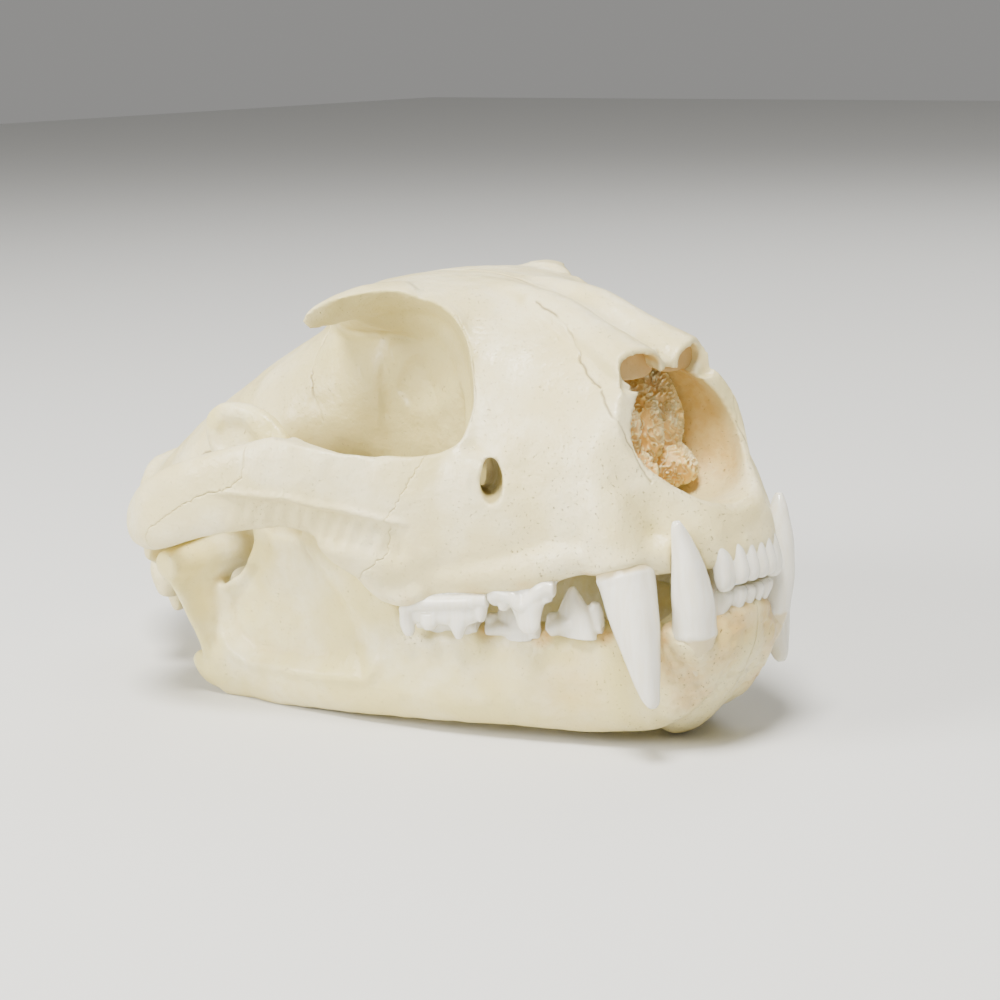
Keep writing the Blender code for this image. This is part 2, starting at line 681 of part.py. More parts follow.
def jaw_lumps():
    """What the left half of the lower jaw is made of."""
    body = [(x, y, (low + top) / 2, (top - low) / 2, half) for x, y, low, top, half in JAW_BODY]
    plate = []
    for level, front, back, y, half in filled_in(JAW_PLATE, 1, 2):
        ring = []
        for i in range(40):
            along, across = swung(math.tau * i / 40, 2.6)
            share = (front - back) / 2 * (1 + along)
            ring.append((back + share, y - JAW_PLATE_TOE_IN * share + half * across, level))
        plate.append(ring)
    return [
        limb(body, power=2.4),
        limb(JAW_ANGLE),
        lofted(plate),
        limb(JAW_CONDYLE),
        limb(JAW_NECK, along=(1, 0, 0)),
        trunk(CHIN),
        limb(CANINE_SOCKET, along=(1, 0, 0)),
    ]


def make_cranium():
    """The upper skull without its teeth, as one skin."""
    item = model("cranium", cranium_lumps())
    melted(item, VOXEL, 10)
    combine(item, cranium_hollows(), "DIFFERENCE", "MANIFOLD")
    melted(item, VOXEL, 3)
    keep_largest(item)
    thin_out(item, SKULL_TRIANGLES)
    return item


def make_jaw():
    """The left half of the lower jaw without its teeth, as one skin."""
    item = model("mandible_left", jaw_lumps())
    melted(item, VOXEL, 8)
    combine(item, [ball(*MASSETER_HOLLOW)], "DIFFERENCE", "MANIFOLD")
    melted(item, VOXEL, 2)
    keep_largest(item)
    thin_out(item, JAW_TRIANGLES)
    return item


def duplicate(item, name):
    """A copy of an object with a mesh of its own."""
    twin = bpy.data.objects.new(name, item.data.copy())
    bpy.context.scene.collection.objects.link(twin)
    return twin


def grown(outline, by):
    """An outline moved outwards by a small distance."""
    points = np.asarray(outline, float)
    before = np.roll(points, 1, axis=0)
    after = np.roll(points, -1, axis=0)
    way = after - before
    area = np.sum(points[:, 0] * after[:, 1] - after[:, 0] * points[:, 1])
    normal = np.stack((way[:, 1], -way[:, 0]), axis=1) * (1 if area > 0 else -1)
    return points + by * normal / np.linalg.norm(normal, axis=1)[:, None]


def part_cheek_bones(skull):
    """Takes the two cheek bones out of the skull along their sutures."""
    near, far = CHEEK_BONE_SIDES
    for name, side in (("zygomatic_arch_left", 1), ("zygomatic_arch_right", -1)):
        bone = duplicate(skull, name)
        keep = prism(CHEEK_BONE, near, far, 1)
        take = prism(grown(CHEEK_BONE, GAP), near - GAP, far, 1)
        if side < 0:
            keep = mirrored(keep)
            take = mirrored(take)
        combine(bone, [keep], "INTERSECT")
        combine(skull, [take], "DIFFERENCE")
        keep_largest(bone)
    keep_largest(skull)


def finish(item):
    """Puts the object in the skull's collection with a bone material of its own."""
    colour, roughness = LOOKS[item.name]
    material = bpy.data.materials.new(item.name)
    material.use_nodes = True
    shader = material.node_tree.nodes["Principled BSDF"]
    shader.inputs["Base Color"].default_value = (*colour, 1)
    shader.inputs["Roughness"].default_value = roughness
    item.data.materials.clear()
    item.data.materials.append(material)
    bpy.context.scene.collection.objects.unlink(item)
    bpy.data.collections["cougar_skull"].objects.link(item)


def main():
    """Builds the skull."""
    for old in list(bpy.data.objects):
        bpy.data.objects.remove(old)
    shelf = bpy.data.collections.new("cougar_skull")
    bpy.context.scene.collection.children.link(shelf)

    skull = make_cranium()
    combine(skull, upper_teeth(1) + upper_teeth(-1), "UNION")
    combine(skull, jaw_sockets() + lower_canine_room(), "DIFFERENCE")
    keep_largest(skull)
    part_cheek_bones(skull)

    left = make_jaw()
    combine(left, lower_teeth(), "UNION")
    combine(left, [block((-200, -60, -40), (200, GAP / 2, 200)), block((-200, -80, -60), (200, 90, FLOOR))], "DIFFERENCE")
    keep_largest(left)
    right = duplicate(left, "mandible_right")
    right.data.transform(Matrix.Diagonal((1, -1, 1, 1)))
    right.data.flip_normals()

    for name in LOOKS:
        finish(bpy.data.objects[name])


main()
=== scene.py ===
"""Looks of an adult cougar skull: bleached bone, enamel teeth and the spongy bone in its nose.

Shapes are written for the animal's left side in millimetres, in the frame of the solids but for
MIDDLE_X: +X towards the nose, +Y towards the left, +Z up from the surface that the jaw rests on.
"""

import logging
import math
from dataclasses import dataclass
from enum import Enum
from typing import NamedTuple

import bmesh
import bpy
import numpy as np
from mathutils import Matrix, Vector

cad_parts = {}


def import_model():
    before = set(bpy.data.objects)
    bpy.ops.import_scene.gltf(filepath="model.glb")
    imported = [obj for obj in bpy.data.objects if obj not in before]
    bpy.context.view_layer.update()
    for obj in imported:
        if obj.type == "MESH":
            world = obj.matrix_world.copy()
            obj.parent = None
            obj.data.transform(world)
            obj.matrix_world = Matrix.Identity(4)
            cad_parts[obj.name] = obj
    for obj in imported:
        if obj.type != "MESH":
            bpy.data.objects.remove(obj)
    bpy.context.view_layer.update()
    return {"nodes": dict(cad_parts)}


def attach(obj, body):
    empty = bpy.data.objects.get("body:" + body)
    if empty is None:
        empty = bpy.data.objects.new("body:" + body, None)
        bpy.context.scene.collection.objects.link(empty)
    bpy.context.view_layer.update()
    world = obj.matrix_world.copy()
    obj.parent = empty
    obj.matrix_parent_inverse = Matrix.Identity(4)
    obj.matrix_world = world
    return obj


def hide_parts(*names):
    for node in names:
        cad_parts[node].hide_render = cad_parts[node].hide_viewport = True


MM = 0.001
# The x at which the frame has its origin.
MIDDLE_X = -2.1
# What is left open between bones that are parts of their own.
GAP = 0.3
# How far lumps flow into each other when they are melted.
BLEND = 2.0
# What the palate leaves clear round the lower canine's crown.
CANINE_ROOM = 0.6
# Well past the skull.
FAR = 200.0
# Sizes of the faces, and cuts of those at a suture, in the final and the quick build.
FINE_VOXEL, QUICK_VOXEL = 0.6, 0.9
FINE_TOOTH_VOXEL, QUICK_TOOTH_VOXEL = 0.28, 0.45
FINE_CUTS, QUICK_CUTS = 2, 1
# What is painted on bone for its finish to read: painted shade with some yellower tone, stains, sutures with the
# canals' painted shade, pores and the nose's tan lining.
LAYERS = ("shade_and_tone", "stain", "seam", "pores", "inner")

# Settings of shader nodes.
MIXED = {"data_type": "RGBA"}
TIMES = {"operation": "MULTIPLY"}
PLUS = {"operation": "ADD"}
SMOOTHED = {"interpolation_type": "SMOOTHSTEP"}

Row = tuple[float, ...]
Rows = tuple[Row, ...]
Ellipsoid = tuple[Row, Row, float, float]

log = logging.getLogger("skull")


class Side(Enum):
    """A side of the animal, as the sign of its Y."""

    LEFT = 1
    RIGHT = -1

    @property
    def word(self) -> str:
        """The side's name inside an object's name."""
        return self.name.lower()


class Lump(NamedTuple):
    """A closed form of points and faces."""

    points: np.ndarray
    faces: list[tuple[int, ...]]

    def on(self, side: Side) -> "Lump":
        """The form, or its mirror image on the right.

        Args:
            side: Which side it is for.

        Returns:
            The form for that side.
        """
        if side is Side.LEFT:
            return self
        return Lump(self.points * (1, -1, 1), [tuple(reversed(face)) for face in self.faces])


def both(lumps: list[Lump]) -> list[Lump]:
    """The lumps and their mirror images."""
    return lumps + [lump.on(Side.RIGHT) for lump in lumps]


def eased(at: np.ndarray, values: np.ndarray, where: np.ndarray) -> np.ndarray:
    """Reads a smooth curve through given values, which doesn't overshoot them.

    Args:
        at: Rising places of the given values.
        values: One row of values for each place.
        where: Places to read the curve at.

    Returns:
        One row of values for each place in `where`.
    """
    slopes = np.diff(values, axis=0) / np.diff(at)[:, None]
    tangents = np.zeros_like(values)
    before, after = slopes[:-1], slopes[1:]
    same_way = before * after > 0
    total = np.where(same_way, before + after, 1)
    tangents[1:-1] = np.where(same_way, 2 * before * after / total, 0)
    tangents[0], tangents[-1] = slopes[0], slopes[-1]
    span = np.clip(np.searchsorted(at, where, side="right") - 1, 0, len(at) - 2)
    width = (at[span + 1] - at[span])[:, None]
    t = (where[:, None] - at[span][:, None]) / width
    return (
        (2 * t**3 - 3 * t**2 + 1) * values[span]
        + (t**3 - 2 * t**2 + t) * width * tangents[span]
        + (3 * t**2 - 2 * t**3) * values[span + 1]
        + (t**3 - t**2) * width * tangents[span + 1]
    )


def filled_in(rows: Rows, places: int, step: float) -> np.ndarray:
    """Spaces rows evenly along a path.

    Args:
        rows: Rows whose first columns are a place.
        places: How many columns make the place.
        step: Distance between the new rows, in millimetres.

    Returns:
        The new rows.
    """
    table = np.asarray(rows, float)
    lengths = np.linalg.norm(np.diff(table[:, :places], axis=0), axis=1)
    at = np.concatenate([[0], np.cumsum(lengths)])
    count = max(2, int(round(at[-1] / step)) + 1)
    return eased(at, table, np.linspace(0, at[-1], count))


def facing_out(points: np.ndarray, faces: list[tuple[int, ...]]) -> Lump:
    """Turns the faces of a closed form outwards.

    Args:
        points: The form's points.
        faces: Its faces, all turned the same way.

    Returns:
        The form with its faces outwards.
    """
    volume = 0.0
    for face in faces:
        a = points[face[0]]
        for b, c in zip(face[1:], face[2:]):
            volume += float(np.dot(a, np.cross(points[b], points[c])))
    return Lump(points, faces if volume > 0 else [tuple(reversed(face)) for face in faces])


def lofted(rings: list[list]) -> Lump:
    """Closes a form over rings of equal count, with a point in the middle of each end.

    Args:
        rings: The rings' points, in order.

    Returns:
        The closed form.
    """
    table = np.asarray(rings)
    count = table.shape[1]
    last = (len(table) - 1) * count
    points = np.array([*table.reshape(-1, 3), table[0].mean(axis=0), table[-1].mean(axis=0)])
    faces = []
    for j in range(count):
        k = (j + 1) % count
        for i in range(len(table) - 1):
            low, high = i * count, (i + 1) * count
            faces.append((low + j, low + k, high + k, high + j))
        faces.append((j, len(points) - 2, k))
        faces.append((last + j, last + k, len(points) - 1))
    return facing_out(points, faces)


def swung(angle: float, power: float) -> tuple[float, float]:
    """Gives a point of a superellipse.

    Args:
        angle: Angle round it, in radians.
        power: 2 is an ellipse, and more is squarer.

    Returns:
        The shares of the two half sizes.
    """
    c, s = math.cos(angle), math.sin(angle)
    return (
        math.copysign(abs(c) ** (2 / power), c),
        math.copysign(abs(s) ** (2 / power), s),
    )


def trunk(rows: Rows, step: float = 1.5, sides: int = 64) -> Lump:
    """Makes a form along X on the midline.

    Args:
        rows: x, half width, top, bottom, level of the widest point, and how square the section
            is above and below that level.
        step: Distance between sections.
        sides: Points round a section.

    Returns:
        The form.
    """
    rings = []
    for x, wide, top, bottom, level, above, below in filled_in(rows, 1, step):
        ring = []
        for i in range(sides):
            angle = math.tau * i / sides
            high = math.sin(angle) >= 0
            across, up = swung(angle, above if high else below)
            reach = top - level if high else level - bottom
            ring.append((x, wide * across, level + reach * up))
        rings.append(ring)
    return lofted(rings)


def limb(
    rows: Rows,
    along: tuple[float, float, float] = (0, 0, 1),
    step: float = 1.5,
    sides: int = 28,
    power: float = 2.0,
) -> Lump:
    """Makes a form along a path.

    Args:
        rows: x, y, z and two half sizes across the path.
        along: Direction that the first half size lies nearest to.
        step: Distance between sections.
        sides: Points round a section.
        power: How square a section is.

    Returns:
        The form.
    """
    table = filled_in(rows, 3, step)
    path = table[:, :3]
    shares = [swung(math.tau * i / sides, power) for i in range(sides)]
    rings = []
    for centre, way, first, second in zip(path, np.gradient(path, axis=0), table[:, 3], table[:, 4]):
        way = way / np.linalg.norm(way)
        up = np.asarray(along, float) - np.dot(along, way) * way
        up = up / np.linalg.norm(up)
        side = np.cross(way, up)
        rings.append([centre + first * a * up + second * b * side for a, b in shares])
    return lofted(rings)


def ball(centre: Row, halves: Row, pitch: float = 0, yaw: float = 0, rings: int = 32) -> Lump:
    """Makes an ellipsoid.

    Args:
        centre: Its centre.
        halves: Its three half sizes.
        pitch: Degrees that its +X end is raised.
        yaw: Degrees that it is then turned about Z.
        rings: Faces round it.

    Returns:
        The ellipsoid.
    """
    place = (
        Matrix.Translation(centre)
        @ Matrix.Rotation(math.radians(yaw), 4, "Z")
        @ Matrix.Rotation(math.radians(-pitch), 4, "Y")
        @ Matrix.Diagonal((*halves, 1))
    )
    made = bmesh.new()
    bmesh.ops.create_uvsphere(made, u_segments=rings, v_segments=rings // 2, radius=1, matrix=place)
    made.verts.index_update()
    points = np.array([vertex.co[:] for vertex in made.verts])
    faces = [tuple(vertex.index for vertex in face.verts) for face in made.faces]
    made.free()
    return facing_out(points, faces)


def prism(outline: Rows, near: float, far: float, axis: int) -> Lump:
    """Draws an outline out along an axis.

    Args:
        outline: Corners in the two other axes.
        near: Where the form starts on the axis.
        far: Where it ends.
        axis: 0, 1 or 2 for X, Y or Z.

    Returns:
        The form.
    """
    others = [i for i in range(3) if i != axis]
    count = len(outline)
    points = np.zeros((2 * count, 3))
    points[:, others] = [*outline, *outline]
    points[:count, axis] = near
    points[count:, axis] = far
    faces = [(i, (i + 1) % count, (i + 1) % count + count, i + count) for i in range(count)]
    faces.append(tuple(reversed(range(count))))
    faces.append(tuple(range(count, 2 * count)))
    return facing_out(points, faces)


def grown(outline: Rows, by: float) -> Rows:
    """Moves the corners of an outline outwards.

    Args:
        outline: The corners.
        by: How far each moves.

    Returns:
        The new corners.
    """
    points = np.asarray(outline, float)
    after = np.roll(points, -1, axis=0)
    way = after - np.roll(points, 1, axis=0)
    area = float(np.sum(points[:, 0] * after[:, 1] - after[:, 0] * points[:, 1]))
    normal = np.stack((way[:, 1], -way[:, 0]), axis=1) * math.copysign(1, area)
    moved = points + by * normal / np.linalg.norm(normal, axis=1)[:, None]
    return tuple(tuple(point) for point in moved.tolist())


def value_noise(points: np.ndarray, size: float, seed: int) -> np.ndarray:
    """Reads smooth random values in space.

    Args:
        points: Places, in millimetres.
        size: How wide a bump is, in millimetres.
        seed: Which values to read.

    Returns:
        Values between -1 and 1, one for each place.
    """
    cells = points / size
    base = np.floor(cells).astype(np.int64)
    t = cells - base
    t = t * t * (3 - 2 * t)
    total = np.zeros(len(points))
    for corner in range(8):
        offset = np.array([(corner >> i) & 1 for i in range(3)])
        key = base + offset
        # Large primes scatter the values, so that neighbouring cells have nothing in common.
        mixed = key[:, 0] * 73856093 ^ key[:, 1] * 19349663 ^ key[:, 2] * 83492791 ^ seed * 7919
        mixed = (mixed ^ (mixed >> 13)) * 1274126177
        value = ((mixed >> 8) & 0xFFFF) / 32767.5 - 1
        total += value * np.prod(np.where(offset == 1, t, 1 - t), axis=1)
    return total


class Skin:
    """An object that is worked like clay: joined from lumps, melted into one skin and cut."""

    def __init__(self, name: str, lumps: list[Lump]) -> None:
        """Lays the lumps in one mesh, in metres and in the frame of the solids.

        Args:
            name: The object's name.
            lumps: The forms that it is made of.
        """
        points: list = []
        faces: list = []
        for lump in lumps:
            first = len(points)
            faces.extend(tuple(first + i for i in face) for face in lump.faces)
            points.extend(lump.points)
        mesh = bpy.data.meshes.new(name)
        places = (np.array(points) - (MIDDLE_X, 0, 0)) * MM
        mesh.from_pydata(places.tolist(), [], faces)
        self.item = bpy.data.objects.new(name, mesh)
        bpy.context.scene.collection.objects.link(self.item)

    @classmethod
    def copy_of(cls, other: "Skin", name: str) -> "Skin":
        """Makes a second skin with a mesh of its own.

        Args:
            other: The skin to copy.
            name: The new object's name.

        Returns:
            The copy.
        """
        twin = cls.__new__(cls)
        twin.item = bpy.data.objects.new(name, other.item.data.copy())
        bpy.context.scene.collection.objects.link(twin.item)
        return twin

    def settle(self) -> None:
        """Applies the object's modifiers."""
        bpy.context.view_layer.update()
        graph = bpy.context.evaluated_depsgraph_get()
        fresh = bpy.data.meshes.new_from_object(self.item.evaluated_get(graph))
        stale = self.item.data
        self.item.modifiers.clear()
        self.item.data = fresh
        bpy.data.meshes.remove(stale)

    def discard(self) -> None:
        """Removes the object and its mesh."""
        mesh = self.item.data
        bpy.data.objects.remove(self.item)
        bpy.data.meshes.remove(mesh)

    def melt(self, voxel: float, blend: float) -> None:
        """Makes one even skin of what is there and smooths it.

        Args:
            voxel: Size of its faces, in millimetres.
            blend: How far the smoothing reaches, in millimetres.
        """
        skin = self.item.modifiers.new("skin", "REMESH")
        skin.mode = "VOXEL"
        skin.voxel_size = voxel * MM
        smooth = self.item.modifiers.new("smooth", "SMOOTH")
        smooth.factor = 0.5
        smooth.iterations = max(1, round(2 * (blend / voxel) ** 2))
        self.settle()

    def combine(self, lumps: list[Lump], operation: str) -> None:
        """Cuts lumps from the skin, or keeps what lies inside them.

        Args:
            lumps: The forms to use, one after another.
            operation: DIFFERENCE or INTERSECT.
        """
        for lump in lumps:
            tool = Skin("tool", [lump])
            change = self.item.modifiers.new("change", "BOOLEAN")
            change.operation = operation
            change.solver = "MANIFOLD"
            change.object = tool.item
            self.settle()
            tool.discard()

    def keep_largest(self) -> None:
        """Removes every closed surface but the one with the most faces."""
        mesh = self.item.data
        count = len(mesh.vertices)
        ends = np.zeros(2 * len(mesh.edges), np.int64)
        mesh.edges.foreach_get("vertices", ends)
        ends = ends.reshape(-1, 2)
        label = np.arange(count)
        while True:
            lowest = label.copy()
            np.minimum.at(lowest, ends[:, 0], label[ends[:, 1]])
            np.minimum.at(lowest, ends[:, 1], label[ends[:, 0]])
            lowest = lowest[lowest]
            if np.array_equal(lowest, label):
                break
            label = lowest
        main = np.bincount(label, minlength=count).argmax()
        stray = label != main
        if not stray.any():
            return
        shape = bmesh.new()
        shape.from_mesh(mesh)
        gone = [vertex for vertex, drop in zip(shape.verts, stray) if drop]
        bmesh.ops.delete(shape, geom=gone, context="VERTS")
        shape.to_mesh(mesh)
        shape.free()

    def refine(self, near: np.ndarray, cuts: int) -> None:
        """Divides the edges between chosen points.

        Args:
            near: True for each chosen point.
            cuts: How many times each edge is cut.
        """
        shape = bmesh.new()
        shape.from_mesh(self.item.data)
        shape.verts.ensure_lookup_table()
        edges = [edge for edge in shape.edges if near[edge.verts[0].index] and near[edge.verts[1].index]]
        bmesh.ops.subdivide_edges(shape, edges=edges, cuts=cuts, use_grid_fill=True)
        bmesh.ops.triangulate(shape, faces=[face for face in shape.faces if len(face.verts) > 4])
        shape.to_mesh(self.item.data)
        shape.free()

    @property
    def points(self) -> np.ndarray:
        """The points, in millimetres, in the frame that the sizes are written in.

        Returns:
            One row of x, y and z for each point.
        """
        flat = np.zeros(3 * len(self.item.data.vertices), np.float32)
        self.item.data.vertices.foreach_get("co", flat)
        return flat.reshape(-1, 3).astype(float) / MM + (MIDDLE_X, 0, 0)

    @points.setter
    def points(self, places: np.ndarray) -> None:
        """Moves the points.

        Args:
            places: Their new places, in the same frame.
        """
        flat = ((places - (MIDDLE_X, 0, 0)) * MM).astype(np.float32).reshape(-1)
        self.item.data.vertices.foreach_set("co", flat)
        self.item.data.update()

    @property
    def normals(self) -> np.ndarray:
        """Which way the skin faces at each point.

        Returns:
            One row of x, y and z for each point.
        """
        flat = np.zeros(3 * len(self.item.data.vertices), np.float32)
        self.item.data.vertices.foreach_get("normal", flat)
        return flat.reshape(-1, 3).astype(float)

    def creases(self, rounds: int) -> np.ndarray:
        """Measures how far each point lies below the smoothed skin, in millimetres.

        Args:
            rounds: How many times the skin is smoothed.

        Returns:
            One depth for each point, negative on a ridge.
        """
        count = len(self.item.data.vertices)
        ends = np.zeros(2 * len(self.item.data.edges), np.int32)
        self.item.data.edges.foreach_get("vertices", ends)
        a, b = ends[0::2], ends[1::2]
        degree = np.maximum(np.bincount(ends, minlength=count), 1)
        places = self.points
        smooth = places.copy()
        for _ in range(rounds):
            sums = [np.bincount(a, smooth[b, i], count) + np.bincount(b, smooth[a, i], count) for i in range(3)]
            smooth = np.stack([total / degree for total in sums], axis=1)
        return np.sum((smooth - places) * self.normals, axis=1)

    def swell(self, heights: np.ndarray) -> None:
        """Moves each point outwards by its height, in millimetres."""
        self.points = self.points + self.normals * heights[:, None]

    def paint(self, name: str, values: np.ndarray) -> None:
        """Stores a value for each point, which a finish reads.

        Args:
            name: The layer's name.
            values: One value for each point.
        """
        layer = self.item.data.attributes.new(name, "FLOAT", "POINT")
        layer.data.foreach_set("value", values.astype(np.float32))

    def dress(self, finish: "Finish", node: str, slot: str) -> None:
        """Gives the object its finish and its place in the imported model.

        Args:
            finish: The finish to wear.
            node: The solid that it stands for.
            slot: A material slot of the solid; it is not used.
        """
        mesh = self.item.data
        mesh.shade_smooth()
        mesh.materials.clear()
        mesh.materials.append(finish.material())
        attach(self.item, "root")
        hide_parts(node)
        log.info("%s: %d points", self.item.name, len(mesh.vertices))


def hump(distance: np.ndarray, width: float) -> np.ndarray:
    """A rounded hump, 1 at no distance and nearly gone at twice its width."""
    return np.exp(-((distance / width) ** 2))


def line_distance(points: np.ndarray, line: Rows) -> np.ndarray:
    """Measures how far points are from a line of straight stretches.

    Args:
        points: Places, in millimetres.
        line: The line's corners.

    Returns:
        One distance for each place.
    """
    corners = np.asarray(line, float)
    nearest = np.full(len(points), np.inf)
    for a, b in zip(corners, corners[1:]):
        way = b - a
        share = np.clip((points - a) @ way / (way @ way), 0, 1)
        nearest = np.minimum(nearest, np.linalg.norm(points - a - share[:, None] * way, axis=1))
    return nearest


def inside_depth(flat: np.ndarray, outline: Rows) -> np.ndarray:
    """Measures how deep points lie inside an outline; it is negative outside.

    Args:
        flat: Places in two axes.
        outline: The outline's corners.

    Returns:
        One depth for each place.
    """
    corners = np.asarray(outline, float)
    inside = np.zeros(len(flat), bool)
    for a, b in zip(corners, np.roll(corners, -1, axis=0)):
        crosses = (a[1] > flat[:, 1]) != (b[1] > flat[:, 1])
        rise = b[1] - a[1] if b[1] != a[1] else 1e-9
        inside ^= crosses & (flat[:, 0] < (b[0] - a[0]) * (flat[:, 1] - a[1]) / rise + a[0])
    away = line_distance(flat, tuple(outline) + (outline[0],))
    return np.where(inside, away, -away)


def risen(values: np.ndarray, low: float, high: float | np.ndarray) -> np.ndarray:
    """Eases values from 0 at `low` to 1 at `high`."""
    t = np.clip((values - low) / (high - low), 0, 1)
    return t * t * (3 - 2 * t)


def wandering(line: Rows, reach: float, pitch: float, seed: int) -> Rows:
    """Gives a line the zigzags of a suture.

    Args:
        line: The line's corners.
        reach: How far the zigzags stray, in millimetres.
        pitch: How long one is, in millimetres.
        seed: Which zigzags to draw.

    Returns:
        The new corners.
    """
    fine = filled_in(line, len(line[0]), pitch / 2)
    draw = np.random.default_rng(seed).uniform(-reach, reach, fine.shape)
    draw[0] = draw[-1] = 0
    return tuple(tuple(point) for point in (fine + draw).tolist())


def colour(code: str) -> tuple[float, float, float, float]:
    """Converts an sRGB hex code to the linear values that shaders take.

    Args:
        code: Six hex digits.

    Returns:
        Red, green, blue and alpha.
    """
    values = [int(code[i : i + 2], 16) / 255 for i in (0, 2, 4)]
    linear = [v / 12.92 if v <= 0.04045 else ((v + 0.055) / 1.055) ** 2.4 for v in values]
    return linear[0], linear[1], linear[2], 1.0


class Shader:
    """A material's node tree, written node by node."""

    def __init__(self, name: str) -> None:
        """Starts a material whose tree holds a Principled BSDF and an output.

        Args:
            name: The material's name.
        """
        self.material = bpy.data.materials.new(name)
        self.material.use_nodes = True
        self.tree = self.material.node_tree

    def add(
        self, kind: str, settings: dict | None = None, output: int | str = 0, **inputs: object
    ) -> bpy.types.NodeSocket:
        """Adds a node with its settings and links.

        Args:
            kind: The node's type, without ShaderNode.
            settings: Its properties.
            output: Which of its outputs to give back, by place or name.
            **inputs: Values or sockets for its inputs, by name or as in0, in1 and so on.

        Returns:
            The chosen output.
        """
        node = self.tree.nodes.new("ShaderNode" + kind)
        for key, value in (settings or {}).items():
            setattr(node, key, value)
        self.feed(node, inputs)
        return node.outputs[output]

    def feed(self, node: bpy.types.Node, inputs: dict[str, object]) -> None:
        """Links a node's inputs, or sets their values.

        Args:
            node: The node.
            inputs: Values or sockets, by name or as in0, in1 and so on.
        """
        for key, value in inputs.items():
            place = int(key[2:]) if key[:2] == "in" and key[2:].isdigit() else key.replace("_", " ")
            if isinstance(value, bpy.types.NodeSocket):
                self.tree.links.new(value, node.inputs[place])
            else:
                node.inputs[place].default_value = value

    def surface(self, **inputs: object) -> bpy.types.Material:
        """Sets the surface's own inputs.

        Args:
            **inputs: Values or sockets, by name.

        Returns:
            The material.
        """
        self.feed(self.tree.nodes["Principled BSDF"], inputs)
        return self.material

    def grain(self, size: float, detail: float = 3, stretch: Row = (1, 1, 1)) -> bpy.types.NodeSocket:
        """Lays a soft random pattern over the object.

        Args:
            size: How wide its features are, in millimetres.
            detail: How much finer pattern it has on top.
            stretch: How much longer its features are along X, Y and Z.

        Returns:
            Its values, which lie about 0.5.
        """
        place = self.add("TexCoord", None, "Object")
        scaled = self.add("Mapping", Vector=place, Scale=tuple(1 / (MM * size * s) for s in stretch))
        return self.add("TexNoise", None, "Fac", Vector=scaled, Scale=1.0, Detail=detail)

    def patches(
        self, size: float, low: float, high: float, least: float = 0.0, detail: float = 3, stretch: Row = (1, 1, 1)
    ) -> bpy.types.NodeSocket:
        """Lays soft-edged patches over the object.

        Args:
            size: How wide they are, in millimetres.
            low: The value of the random pattern that they start at.
            high: The value that they are full at.
            least: What is left between them.
            detail: How frayed their edges are.
            stretch: How much longer they are along X, Y and Z.

        Returns:
            Values from `least` to 1.
        """
        grain = self.grain(size, detail, stretch)
        return self.add("MapRange", SMOOTHED, in0=grain, in1=low, in2=high, in3=least, in4=1.0)


@dataclass(frozen=True)
class Finish:
    """What every finish has: a name and a base roughness."""

    name: str
    roughness: float = 0.5

    def material(self) -> bpy.types.Material:
        """The material, which is made once."""
        found = bpy.data.materials.get(self.name)
        return found or self.made()

    def made(self) -> bpy.types.Material:
        """Makes the material."""
        raise NotImplementedError


